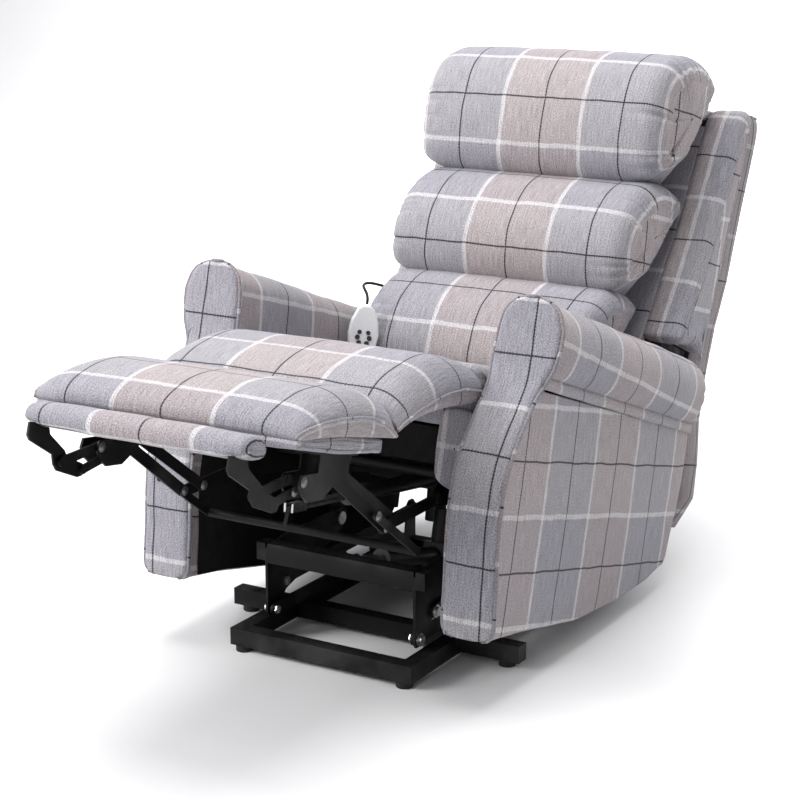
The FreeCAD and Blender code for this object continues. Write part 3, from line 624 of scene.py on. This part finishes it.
padded("head_cushion", HEAD, 288, 50, "back", ("cushion_head",), u_off=-9, u_scale=1.05, v_off=37, taper=0.05,
       wedge=((600, 1004), (850, 1226), 0.66, 190), seam_in=0.6, v_start=0, crown=4,
       gather=13, reach=50, npl=26, seed=11, where=front_gate, cap_bulge=5)
padded("middle_cushion", MID, 276, 42, "back", ("cushion_middle",), u_off=-6, u_scale=1.055, v_off=-6, taper=0.03,
       wedge=((516, 772), (764, 966), 0.66, 190), seam_in=0.6, crown=4,
       gather=12, reach=48, npl=24, seed=12, where=front_gate, cap_bulge=4)
padded("lumbar_cushion", LUM, 259, 36, "back", ("cushion_lumbar",), u_off=-6, u_scale=1.055, v_off=90, taper=0.03,
       wedge=((404, 586), (628, 748), 0.70, 190), seam_in=0.6, crown=4,
       gather=8, reach=54, npl=22, seed=13, where=front_gate, cap_bulge=3)

# ------------------------------ seat and leg pads --------------------------
def crowned(name, top, side, bottom, body, replaces, a=196.0, xh=262.0, v_off=0.0, nt=110, seed=5, rear_open=False,
            waves=1.0, cord=True, power=0.5, u_extra=16.0, crown=3.0, corner=None):
    """Pad whose top rolls down to a corded side seam, with a narrow boxing strip and a flat underside.
    top, side and bottom are (y, z) curves from the rear edge to the front edge."""
    Tp, st, Lt = resample(curve(top, False, 3), nt)
    Sd = resample(curve(side, False, 3), nt)[0]
    Bt = resample(curve(bottom, False, 2), nt)[0]
    def rf(A):
        if corner is not None:
            y0, depth, amount = corner
            t = np.clip((-A[..., 1] - (y0 - depth)) / depth, 0, 1)
            A[..., 0] -= np.sign(A[..., 0]) * amount * (1 - np.sqrt(1 - 0.98 * t ** 2)) * (np.abs(A[..., 0]) / xh) ** 4
        return A

    e = np.linspace(0, 1, 16)
    edge = a + (xh - a) * np.sin(e * math.pi / 2)
    xs = np.r_[-edge[::-1], np.linspace(-a, a, 64)[1:-1], edge]
    r = rnd(seed)
    rows, U = [], []
    drop = float(np.mean(Tp[:, 1] - Sd[:, 1]))
    arc_e = np.r_[0, np.cumsum(np.hypot(np.diff(edge), np.diff(drop * (1 - np.sqrt(np.clip(1 - ((edge - a) / (xh - a)) ** 2, 0, 1))))))]
    ph = r.uniform(0, 6, 4)
    gt = np.sin(st * 0.11 + ph[0]) * 0.5 + np.sin(st * 0.23 + ph[1]) * 0.35 + np.sin(st * 0.41 + ph[2]) * 0.25
    for x in xs:
        q = max(0.0, (abs(x) - a) / (xh - a))
        w = max(0.0, 1 - q ** 2) ** power
        C = Sd * (1 - w) + Tp * w
        hump = crown * (1 - (abs(x) / xh) ** 2)
        ruck = waves * gt * math.exp(-((1 - q) / 0.35) ** 2) * (1 if abs(x) > a else 0) * (1 - 0.6 * q)
        soft = 0.8 * np.sin(st * 0.017 + x * 0.013 + ph[3]) * np.sin(x * 0.021 + ph[1])
        Z = C[:, 1] + (hump + ruck + soft) * smooth(0, 30, st) * smooth(0, 26, Lt - st)
        rows.append(np.stack([np.full(nt, x), C[:, 0], Z], -1))
        U.append(math.copysign(a + np.interp(abs(x), edge, arc_e) , x) if abs(x) > a else x)
    G = rf(np.array(rows))
    UV = np.zeros((len(xs), nt, 2))
    UV[..., 0] = np.array(U)[:, None]
    UV[..., 1] = st[None, :] + v_off
    b = Builder()
    b.grid(G, UV)
    for k in (0, -1):
        sg = -1 if k == 0 else 1
        top_e = G[k]
        t = np.linspace(0, 1, 7)[:, None, None]
        low = rf(np.stack([np.full(nt, sg * (xh - 1.5)), Bt[:, 0], Bt[:, 1]], -1))
        S = top_e[None] * (1 - t) + low[None] * t
        S[..., 0] += sg * 3.0 * np.sin(math.pi * t[..., 0])
        h = np.linalg.norm(top_e - low, axis=1)
        UVs = np.zeros((7, nt, 2))
        UVs[..., 0] = sg * (a + arc_e[-1] + u_extra) + sg * t[..., 0] * h[None, :]
        UVs[..., 1] = st[None, :] + v_off
        b.grid(S, UVs)
    xb = np.linspace(-(xh - 1.5), xh - 1.5, 9)
    Bg = rf(np.stack([np.stack([np.full(nt, x), Bt[:, 0], Bt[:, 1] - 2.0 * (1 - (x / xh) ** 2)], -1) for x in xb]))
    UVb = np.zeros((9, nt, 2))
    UVb[..., 0] = xb[:, None]
    UVb[..., 1] = st[None, :] + v_off + 60
    b.grid(Bg, UVb, flipn=True)
    for k in (0, -1):       # close rear and front
        tt = np.linspace(0, 1, 5)[None, :, None]
        topc = G[:, k]
        botc = np.stack([topc[:, 0], np.full(len(xs), Bt[k, 0]), np.full(len(xs), Bt[k, 1])], -1)
        S = topc[:, None] * (1 - tt) + botc[:, None] * tt
        UVc = np.zeros((len(xs), 5, 2))
        UVc[..., 0] = np.array(U)[:, None]
        UVc[..., 1] = (st[k] + v_off) + (1 if k == -1 else -1) * tt[..., 0] * 20
        b.grid(S, UVc)
    o = b.make(name, PLAID, body, replaces, weld=0.0004)
    fix_normals(o)
    cords = []
    if cord:
        for k, tag in ((0, "left"), (-1, "right")):
            pts = G[k].copy()
            pts[:, 0] += 1.2 * (-1 if k == 0 else 1)
            pts[:, 2] -= 0.5
            cords.append(piping("%s_cord_%s" % (name, tag), pts, body, 2.6, u_off=40))
    return o, cords, G


Z_TOP = [(-24, 588), (-60, 594), (-110, 596), (-160, 591), (-229, 566), (-264, 548), (-290, 528), (-306, 508), (-308, 494)]
Z_SIDE = [(-24, 543), (-60, 545), (-91, 545), (-135, 537), (-174, 527), (-203, 515), (-243, 501), (-281, 482), (-306, 467)]
Z_BOT = [(-24, 526), (-88, 517), (-129, 513), (-199, 501), (-257, 484), (-300, 463)]
bridge, bcords, _ = crowned("seat_front_fold", Z_TOP, Z_SIDE, Z_BOT, "seat", ("chaise_bridge",), a=190, v_off=-84, seed=21,
                            waves=1.6, crown=3)
for piece in [bridge] + bcords:
    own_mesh(piece)

SEAT = [(554, 476), (556, 520), (548, 556), (520, 563), (300, 576), (120, 586), (40, 589), (0, 589), (-26, 588),
        (-27, 560), (-27, 476), (200, 471), (400, 471)]
padded("seat_pad", SEAT, 261, 30, "seat", ("seat_cushion",), u_off=0, v_off=0, ns=160, crown=2,
       gather=1.0, reach=40, npl=8, seed=22, cap_bulge=0, corner=14, pull=0, cap_dir="flat")

P_TOP = [(-300, 470), (-303, 498), (-318, 514), (-350, 523), (-400, 528), (-449, 527), (-511, 516), (-554, 498),
         (-584, 479), (-599, 460), (-598, 447)]
P_SIDE = [(-306, 458), (-322, 468), (-350, 478), (-392, 486), (-435, 486), (-477, 482), (-529, 474), (-572, 463), (-594, 453), (-597, 446)]
P_BOT = [(-304, 454), (-400, 453), (-500, 452), (-592, 443)]
crowned("leg_pad", P_TOP, P_SIDE, P_BOT, "footrest", ("footrest_pad",), a=190, v_off=-4, seed=23, waves=1.6, crown=2,
        corner=(600, 34, 16))
BOARD = [(-332, 425), (-332, 453), (-462, 454), (-590, 449), (-592, 426), (-462, 423)]
padded("leg_board_cover", BOARD, 256, 6, "footrest", ("footrest_board",), u_off=0, v_off=0, ns=160, crown=0,
       gather=1.0, reach=30, npl=10, seed=24, cap_bulge=1.0, corner=7, cap_dir="flat")
FLAP = [(-604, 406), (-601, 428), (-612, 441), (-636, 444), (-658, 440), (-671, 426), (-668, 408), (-636, 402)]
padded("foot_flap_cushion", FLAP, 213, 10, "foot_flap", ("foot_flap_pad",), u_off=-18, v_off=-16, ns=120, crown=2,
       gather=1.4, reach=26, npl=14, seed=25, cap_bulge=4, rounds=2, cap_dir="flat", seam_in=0.5)

# ------------------------------ arms ---------------------------------------
FRONT = [(-81, 118), (-89, 162), (-96, 213), (-108, 265), (-115, 317), (-116, 359), (-114, 392), (-102, 441),
         (-75, 492), (-33, 553)]
FRONT_UP = FRONT + [(-26, 572), (-25, 600), (-25, 650), (-25, 718)]
BOTTOM = [(-81, 118), (-59, 122), (30, 130), (132, 133), (262, 137), (372, 152), (488, 173), (605, 206), (675, 231)]
REAR = [(675, 231), (687, 251), (694, 290), (708, 344), (720, 406), (722, 450), (720, 503)]
SCROLL = [(366, 582), (377, 585), (390, 603), (399, 634), (400, 662), (391, 691), (366, 712), (335, 719), (303, 710),
          (283, 690), (277, 664), (274, 626), (272.5, 590), (272.5, 556)]


def half_width(z):
    """Inner and outer X of the front panel at height z."""
    zi = [118, 500, 556, 600, 626, 664, 690, 704, 712, 717.5, 719]
    xi = [273, 273, 273, 273, 275, 278, 284, 295, 304, 318, 334]
    zo = [118, 500, 545, 566, 598, 634, 662, 691, 704, 713, 717.5, 719]
    xo = [370, 370, 370.5, 377, 391, 398, 399, 390, 380, 364, 350, 336]
    return np.interp(z, zi, xi), np.interp(z, zo, xo)


def arm(side, tag):
    mir = side < 0
    # outer side panel with a soft bulge, its top tucked under the roll
    top = [(-33 + 6, 562), (0, 566), (244, 545), (605, 513), (720, 503)]
    front_in = [(y + 4, z) for y, z in FRONT]
    bot = [(-77, 118)] + BOTTOM[1:]
    su, sv = edge_spacing(90, 780, 9), edge_spacing(60, 420, 9)
    P, U, V = coons(bot, top, front_in, REAR, len(su), len(sv), su, sv)
    d = np.minimum(np.minimum(U * 780, (1 - U) * 780), np.minimum(V * 420, (1 - V) * 420 + 6))
    lip = 8 * np.sqrt(np.clip(1 - (1 - np.clip(d / 9, 0, 1)) ** 2, 0, 1))
    bulge = 3.5 * np.sin(math.pi * np.clip(U, 0, 1)) ** 0.7 * np.sin(math.pi * np.clip(V, 0, 1)) ** 0.7
    rip = 0.5 * np.sin(P[..., 0] * 0.021 + 1.0) * np.sin(P[..., 1] * 0.017)
    rip = rip + 1.2 * np.exp(-((V - 0.0) * 420 / 40.0) ** 2) * np.sin(P[..., 0] * 0.045 + 0.7)
    X = 361 + lip + bulge + rip
    b = Builder()
    G = np.stack([X, P[..., 0], P[..., 1]], -1)
    UV = np.stack([P[..., 0] + 37, P[..., 1] - 238], -1)
    b.grid(G, UV)
    # inner side
    Gi = np.stack([np.full_like(X, 272.5) + (8 - lip), P[..., 0], P[..., 1]], -1)
    b.grid(Gi, UV + [[[0, 0]]], flipn=True)
    # closing strips along the bottom and rear
    for idx in ("bottom", "rear"):
        e_o = G[:, 0] if idx == "bottom" else G[-1, :]
        e_i = Gi[:, 0] if idx == "bottom" else Gi[-1, :]
        t = np.linspace(0, 1, 9)[None, :, None]
        S = e_o[:, None] * (1 - t) + e_i[:, None] * t
        UVs = np.stack([S[..., 1] + 37, S[..., 2] - 238 + (S[..., 0] - 361) * 0.9], -1)
        b.grid(S, UVs)
    o = b.make("arm_side_" + tag, PLAID, "seat", ("arm_%s_panel" % tag,), mirror=mir)
    fix_normals(o)

    # front panel: a padded strip following the front edge, keyhole shaped at the roll
    Fp, s, tot = resample(curve(FRONT_UP, False, 3), 190)
    nrm = normals2(Fp, False)
    if nrm[10, 0] > 0:
        nrm = -nrm
    w = np.r_[0, 0.012, 0.03, 0.06, 0.1, 0.16, np.linspace(0.22, 0.78, 15), 0.84, 0.90, 0.94, 0.97, 0.988, 1.0]
    zi, zo = half_width(Fp[:, 1])
    low = np.clip((s - 0) / 22.0, 0, 1)            # rounded lower corners
    rc = 22 * (1 - np.sqrt(np.clip(1 - (1 - low) ** 2, 0, 1)))
    zi, zo = zi + rc, zo - rc
    Xw = zi[:, None] + (zo - zi)[:, None] * w[None, :]
    edge = np.minimum(Xw - zi[:, None], zo[:, None] - Xw)
    topd = np.clip((tot - s)[:, None], 0, 100)
    depth = 7 * np.sqrt(np.clip(1 - (1 - np.clip(np.minimum(edge, 12) / 12, 0, 1)) ** 2, 0, 1))
    depth = depth - 5.5
    soft = 1.2 * np.sin(math.pi * w)[None, :] + 0.5 * np.sin(s * 0.03)[:, None]
    off = depth + soft
    Y = Fp[:, 0][:, None] + nrm[:, 0][:, None] * off + 3
    Z = Fp[:, 1][:, None] + nrm[:, 1][:, None] * off
    G = np.stack([Xw, Y, Z], -1)
    UV = np.stack([Xw - 349 + 196, np.repeat((s + 118 - 238 - 10.5)[:, None], len(w), 1)], -1)
    b = Builder()
    b.grid(G, UV)
    for col in (0, -1):     # returns into the arm
        e = G[:, col]
        t = np.linspace(0, 1, 4)[None, :, None]
        back = e.copy()
        back[:, 1] += 12
        S = e[:, None] * (1 - t) + back[:, None] * t
        b.grid(S, np.stack([S[..., 1] + 100, S[..., 2]], -1))
    e = G[0]
    back = e + np.array([0, 14, 2])
    t = np.linspace(0, 1, 4)[None, :, None]
    b.grid(e[:, None] * (1 - t) + back[:, None] * t, np.zeros((len(w), 4, 2)) + [[[260, 40]]])
    o = b.make("arm_front_" + tag, PLAID, "seat", ("arm_%s_front" % tag,), mirror=mir)
    fix_normals(o)
    sg = np.array([side, 1, 1])
    for col, nm in ((0, "in"), (-1, "out")):
        pts = G[:, col].copy()
        pts[:, 1] += 0.5
        pts[:, 0] += -1.6 if col == 0 else 1.6
        piping("arm_cord_%s_%s" % (nm, tag), pts * sg, "seat", 3.6, u_off=140, mat=CORD)
    pts = G[-1].copy()
    pts[:, 2] += 1.2
    piping("arm_cord_top_%s" % tag, pts * sg, "seat", 3.6, u_off=140, mat=CORD)

    # roll: section lofted along the sloping arm top
    Sc, sc, tot = resample(curve(SCROLL, False, 2), 110)
    n2 = normals2(Sc, False)
    cen = np.array([335, 640])
    if np.mean(np.sum((Sc - cen) * n2, 1)) < 0:
        n2 = -n2
    ys = np.r_[-19, -17, -12, np.linspace(0, 690, 100), 700, 708, 715, 721, 726, 730, 732]
    rows, uvr = [], []
    pl = pleats(sc, tot * 1.01, 31 + (1 if mir else 0), 14)
    plf = pleats(sc, tot * 1.01, 41 + (1 if mir else 0), 10)
    for y in ys:
        r_end = 34.0
        dd = max(0.0, y - (732 - r_end))
        ins = r_end * (1 - math.sqrt(max(0.0, 1 - (dd / r_end) ** 2)))
        off = -ins - 4.0 * pl * math.exp(-((732 - y) / 34.0) ** 2) - 1.6 * plf * math.exp(-((y + 19) / 26.0) ** 2)
        off = off + 0.9 * np.sin(y * 0.021 + sc * 0.02) + 0.6 * np.sin(y * 0.047 - sc * 0.03 + 1)
        off = off * smooth(0, 20, sc) * smooth(0, 20, tot - sc) if ins < 1 else off
        Q = Sc + n2 * np.asarray(off)[:, None]
        zz = Q[:, 1] - (y + 12) * 64 / 744.0
        rows.append(np.stack([Q[:, 0], np.full(len(Q), y), zz], -1))
        uvr.append(np.stack([np.full(len(Q), y + 37.0), sc + 22 + 0.055 * y], -1))
    R = np.array(rows)
    UVr = np.array(uvr)
    b = Builder()
    b.grid(R, UVr)
    last = R[-1]
    c = last.mean(0)
    capr = np.array([c + (last - c) * q + np.array([0, 2 * (1 - q), 0]) for q in (1, 0.8, 0.55, 0.3, 0.05)])
    b.grid(capr, np.stack([np.tile((UVr[-1, :, 0])[None], (5, 1)) + np.linspace(0, 25, 5)[:, None],
                           np.tile(UVr[-1, :, 1][None], (5, 1))], -1))
    o = b.make("arm_roll_" + tag, PLAID, "seat", ("arm_%s_roll" % tag,), mirror=mir)
    fix_normals(o)

    # flat seam flange where the roll meets the side panel
    yy = np.linspace(-26, 716, 120)
    zf = 553 - (yy + 12) * 62 / 744.0
    prof = np.array([(-3, 33), (2.6, 30), (4.6, 24), (5.2, 16), (4.2, 10.5), (0, 9), (-3, 9)])
    P3 = np.zeros((len(yy), len(prof), 3))
    wv = 0.8 * np.sin(yy * 0.05) + 0.5 * np.sin(yy * 0.021 + 1)
    for k, (px, pz) in enumerate(prof):
        P3[:, k, 0] = 370.5 + px + (0.4 * wv if 0 < k < 6 else 0)
        P3[:, k, 1] = yy
        P3[:, k, 2] = zf + pz + wv * 0.4
    UVf = np.stack([np.repeat((yy + 37)[:, None], len(prof), 1),
                    np.repeat(np.linspace(0, 26, len(prof))[None] + 250, len(yy), 0)], -1)
    b = Builder()
    b.grid(P3, UVf)
    o = b.make("arm_flange_" + tag, PLAID, "seat", mirror=mir)
    fix_normals(o)


arm(1, "right")
arm(-1, "left")

# ------------------------------ wings and back -----------------------------
WING = [(646, 690), (676, 752), (702, 809), (755, 925), (814, 1097), (838, 1158), (858, 1184), (884, 1192),
        (902, 1176), (897, 1120), (884, 1050), (866, 980), (850, 920), (834, 829), (806, 725), (791, 645),
        (771, 640), (752, 683), (700, 681), (664, 679)]


def wing_gate(P):
    return smooth(1080, 1180, P[:, 1])


for side, tag in ((1, "right"), (-1, "left")):
    padded("wing_pad_" + tag, WING, 45, 20, "back", ("wing_" + tag,), u_off=98 + side, v_off=-41, ns=300, nx=8,
           crown=1.5, gather=3.0, reach=30, npl=24, seed=61 + side, cap_bulge=1.0, x_mid=306.0 * side,
           where=wing_gate, pull=0, corner=16)

INNER = [(590, 565), (652, 700), (705, 809), (758, 925), (817, 1097), (838, 1150), (862, 1143), (841, 1093),
         (781, 921), (728, 805), (675, 696), (614, 560)]
padded("back_lining", INNER, 268, 5, "back", ("back_inner_panel",), u_off=0, v_off=0, ns=200, nx=20, crown=0,
       gather=0.5, reach=30, npl=8, seed=71, cap_bulge=0, corner=6, pull=0)

LEVELS = [(300, 790, 40, 0.955), (330, 806, 58, 0.975), (364, 817, 78, 1.0), (443, 805, 96, 1.0), (528, 778, 106, 1.0),
          (622, 778, 108, 1.0), (725, 799, 100, 1.0), (829, 838, 92, 1.0), (920, 856, 86, 1.0), (1014, 876, 82, 1.0),
          (1110, 898, 80, 1.0), (1150, 906, 76, 1.0), (1168, 909, 72, 0.995), (1180, 912, 66, 0.985), (1188, 916, 56, 0.965)]
LV = np.array(LEVELS, float)
zs = np.r_[np.linspace(300, 1150, 82), np.linspace(1155, 1188, 8)]
outline = lambda y, d, e=0.0: np.array([(334 - 36 * e, y - 36 - 26 * e), (346 - 8 * e, y - 20 - 20 * e), (352, y + 0.22 * d), (345, y + 0.55 * d), (322, y + 0.85 * d),
                                 (270, y + d), (140, y + 1.1 * d), (0, y + 1.13 * d), (-140, y + 1.1 * d),
                                 (-270, y + d), (-322, y + 0.85 * d), (-345, y + 0.55 * d), (-352, y + 0.22 * d),
                                 (-346 + 8 * e, y - 20 - 20 * e), (-334 + 36 * e, y - 36 - 26 * e)])
rows, uvs = [], []
for z in zs:
    y, d, kx = (np.interp(z, LV[:, 0], LV[:, k]) for k in (1, 2, 3))
    e = float(smooth(668, 684, z) * (1 - smooth(710, 770, z)))
    c, s, tot = resample(curve(outline(y, d, e), False, 2), 150)
    c[:, 0] *= kx
    puff = 2.0 * math.sin(math.pi * (z - 300) / 888) * np.sin(math.pi * s / tot)
    c[:, 1] += puff
    rows.append(np.stack([c[:, 0], c[:, 1], np.full(len(c), z)], -1))
    uvs.append(np.stack([s - tot / 2, np.full(len(c), z - 238)], -1))
G, UVg = np.array(rows), np.array(uvs)
b = Builder()
b.grid(G, UVg)
inner = G.copy()
inner[..., 0] *= 0.968
inner[..., 1] -= 9 * np.sin(math.pi * np.linspace(0, 1, 150))[None, :] ** 0.5
b.grid(inner, UVg, flipn=True)
for e0, e1 in ((G[0], inner[0]), (G[-1], inner[-1])):
    t = np.linspace(0, 1, 3)[None, :, None]
    b.grid(e0[:, None] * (1 - t) + e1[:, None] * t, np.zeros((150, 3, 2)))
for j in (0, -1):
    t = np.linspace(0, 1, 3)[None, :, None]
    b.grid(G[:, j][:, None] * (1 - t) + inner[:, j][:, None] * t, np.zeros((90, 3, 2)))
# the back shell gets the darker check, which is painted shade
o = b.make("back_outside", PLAID_SHADE, "back", ("back_shell",))
fix_normals(o)
piping("back_top_cord", G[-2] + np.array([0, 1.0, 1.0]), "back", 3.0, u_off=60, mat=CORD)
for j, tag in ((26, "right"), (123, "left")):
    piping("back_side_cord_" + tag, G[2:-2, j] + np.array([0, 1.5, 0]), "back", 2.6, u_off=60, mat=CORD)

CAP = [(846, 1164), (850, 1168), (880, 1188), (908, 1190), (950, 1188), (972, 1180), (978, 1168), (970, 1164)]
padded("back_top_cover", CAP, 258, 6, "back", ("back_top_panel",), u_off=0, v_off=0, ns=100, nx=30, crown=0,
       gather=1, reach=30, npl=8, seed=81, cap_bulge=0, corner=8, pull=0)
CAPR = [(900, 1166), (902, 1190), (940, 1192), (962, 1189), (968, 1176), (964, 1166)]
padded("back_top_edge", CAPR, 331, 9, "back", (), u_off=0, v_off=0, ns=80, nx=40, crown=0,
       gather=1, reach=30, npl=8, seed=82, cap_bulge=0, corner=8, pull=0)

# cheeks beside the seat, above the linkage
CK = [(193, 505), (192, 470), (192, 410), (195, 384), (206, 373), (226, 364), (246, 361), (262, 365), (266, 380),
      (266, 470), (264, 505), (230, 510)]
for side, tag in ((1, "right"), (-1, "left")):
    Cp, sc_, tt_ = resample(curve(CK, True, 2), 120, True)
    cen = Cp.mean(0)
    rings = []
    for q, yy in ((1.0, -28), (1.0, -30.5), (0.985, -33), (0.95, -34.6), (0.88, -35.6), (0.75, -36.2), (0.5, -36.6), (0.25, -36.8), (0.03, -36.8)):
        R = cen + (Cp - cen) * q
        rings.append(np.stack([R[:, 0], np.full(120, yy) + 0.8 * np.sin(sc_ * 0.09) * q, R[:, 1]], -1))
    Rg = np.array(rings)
    Rx = np.concatenate([Rg, Rg[:, :1]], 1)
    b = Builder()
    b.grid(Rg, np.stack([Rx[..., 0] - 205 + 98, Rx[..., 2] - 440 + 98], -1), close=True)
    o = b.make("seat_cheek_" + tag, PLAID, "seat", ("seat_side_cheeks",), mirror=side < 0)
    fix_normals(o)
    ring = Rg[3] * np.array([side, 1, 1]) + np.array([0, 2.2, 0])
    piping("seat_cheek_cord_" + tag, np.concatenate([ring, ring[:1]]), "seat", 1.9, u_off=60)

# black lining on the inner faces of the arms, below the seat
front_y = lambda z: np.interp(z, [q[1] for q in FRONT], [q[0] for q in FRONT]) + 37
rear_y = lambda z: np.interp(z, [q[1] for q in REAR], [q[0] for q in REAR]) - 9
floor_z = lambda y: np.interp(y, [q[0] for q in BOTTOM], [q[1] for q in BOTTOM]) + 5
for side, tag in ((1, "right"), (-1, "left")):
    tt = np.linspace(0, 1, 70)
    hh = np.linspace(0, 1, 34)
    Pc = np.zeros((70, 34, 3))
    for i, t in enumerate(tt):
        z0 = float(floor_z(-60 + 735 * t))
        zz = z0 + (505 - z0) * hh
        Pc[i, :, 2] = zz
        Pc[i, :, 1] = front_y(zz) + t * (rear_y(zz) - front_y(zz))
    Pc[..., 0] = side * (270.9 - 0.5 * np.sin(Pc[..., 1] * 0.031) * np.sin(Pc[..., 2] * 0.023 + 1))
    b = Builder()
    b.grid(Pc, np.stack([Pc[..., 1], Pc[..., 2]], -1))
    o = b.make("arm_lining_" + tag, CLOTH, "seat")

# rivet heads on the leg linkage, outside and inside each pivot
RIVET = [(9.0, 0.0), (9.0, 0.9), (6.4, 1.0), (6.2, 2.2), (5.0, 3.1), (2.8, 3.7), (0.05, 3.9)]
RIVET_SKIP = {("foot_flap_pivot", "in"), ("foot_flap_pivot", "out")}
verts_of = {}
for n, o in frame["nodes"].items():
    verts_of[n] = np.array([tuple(v.co) for v in o.data.vertices]) * 1000.0
body_of = {n: next((bn for bn, e in frame["bodies"].items() if o.parent == e), None) for n, o in frame["nodes"].items()}
heads = {}
for j in frame["joints"]:
    if j["name"] not in ("leg_rear_pivot", "leg_rear_second_pivot", "footrest_pivot", "leg_front_pivot",
                         "leg_front_second_pivot", "foot_flap_pivot", "drive_yoke_pivot"):
        continue
    y, z = j["pos_m"][1] * 1000, j["pos_m"][2] * 1000
    for sg in (1, -1):
        best = {}
        for n, V in verts_of.items():
            if body_of[n] not in (j["parent"], j["child"]):
                continue
            m = (np.hypot(V[:, 1] - y, V[:, 2] - z) < 13) & (V[:, 0] * sg > 172) & (V[:, 0] * sg < 226)
            if not m.any():
                continue
            a = V[m, 0] * sg
            if "out" not in best or a.max() > best["out"][0]:
                best["out"] = (a.max(), body_of[n])
            if "in" not in best or a.min() < best["in"][0]:
                best["in"] = (a.min(), body_of[n])
        for key, (x, bn) in best.items():
            if (j["name"], key) in RIVET_SKIP:
                continue
            heads.setdefault(bn, []).append((sg * x, y, z, sg if key == "out" else -sg))
th = np.linspace(0, 2 * math.pi, 24, endpoint=False)
for bn, items in heads.items():
    b = Builder()
    for x, y, z, d in items:
        R = np.array([[(x + d * h, y + r * math.cos(t), z + r * math.sin(t)) for t in th] for r, h in RIVET])
        b.grid(R, np.zeros((len(RIVET), 25, 2)), close=True)
    o = b.make("rivets_" + bn, RIVET_MAT, bn, world=True, weld=0)
    fix_normals(o)

# ------------------------------ stage --------------------------------------
scene = bpy.context.scene
me = bpy.data.meshes.new("floor_mesh")
NF = 60
yf = np.r_[np.linspace(-9, 4.2, 30), 4.2 + 2.2 * np.sin(np.linspace(0, math.pi / 2, 20))[1:], 6.4 + np.zeros(8)]
zf = np.r_[np.zeros(30), 2.2 * (1 - np.cos(np.linspace(0, math.pi / 2, 20)))[1:], np.linspace(2.3, 9, 8)]
vf, ff = [], []
for a, (y, z) in enumerate(zip(yf, zf)):
    vf += [(-12, y, z), (12, y, z)]
    if a:
        ff.append((2 * a - 2, 2 * a - 1, 2 * a + 1, 2 * a))
me.from_pydata(vf, [], ff)
floor = bpy.data.objects.new("studio_floor", me)
scene.collection.objects.link(floor)
me.polygons.foreach_set("use_smooth", [True] * len(me.polygons))
kf = Nodes("studio_white")
kf.t.links.new(kf.mix(kf.noise(kf.obj(), 3.0, 3.0), (0.80, 0.80, 0.806), (0.78, 0.78, 0.788)), kf.b.inputs["Base Color"])
kf.b.inputs["Roughness"].default_value = 0.6
me.materials.append(kf.mat)


def area(name, loc, target, size, power, col=(1, 1, 1)):
    l = bpy.data.lights.new(name, "AREA")
    l.shape = "RECTANGLE"
    l.size, l.size_y = size
    l.energy = power
    l.color = col
    o = bpy.data.objects.new(name, l)
    o.location = loc
    o.rotation_euler = (Vector(target) - Vector(loc)).to_track_quat("-Z", "Y").to_euler()
    scene.collection.objects.link(o)
    return o


area("key", (-3.0, -3.4, 3.0), (0, 0, 0.6), (2.4, 2.4), 285)
area("top", (-0.2, 0.0, 4.6), (0, 0, 0.3), (3.2, 3.2), 215)
area("rim", (2.6, 2.6, 3.0), (0, 0, 0.6), (1.8, 1.8), 22)
area("backdrop", (0, 3.4, 4.2), (0, 7.2, 1.6), (5.0, 1.6), 640)
world = bpy.data.worlds.new("studio")
scene.world = world
world.use_nodes = True
bg = next(n for n in world.node_tree.nodes if n.type == "BACKGROUND")
bg.inputs[0].default_value = (0.98, 0.985, 1.0, 1)
bg.inputs[1].default_value = 0.38

# ------------------------------ camera -------------------------------------
cam_data = bpy.data.cameras.new("camera")
cam = bpy.data.objects.new("camera", cam_data)
scene.collection.objects.link(cam)
yaw, pitch, roll = math.radians(30.352), math.radians(14.381), math.radians(0.077)
back = Vector((math.sin(yaw) * math.cos(pitch), -math.cos(yaw) * math.cos(pitch), math.sin(pitch)))
right = Vector((math.cos(yaw), math.sin(yaw), 0))
up = back.cross(right)
rot = Matrix((right, up, back)).transposed().to_4x4()
cam.matrix_world = Matrix.Translation(Vector((1.84740, -2.87547 + Y_SHIFT / 1000, 1.38289))) @ rot @ Matrix.Rotation(roll, 4, "Z")
cam_data.sensor_width = 36.0
cam_data.lens = 1988.93 / 800.0 * 36.0
cam_data.clip_end = 60
scene.camera = cam
scene.view_settings.view_transform = "Standard"
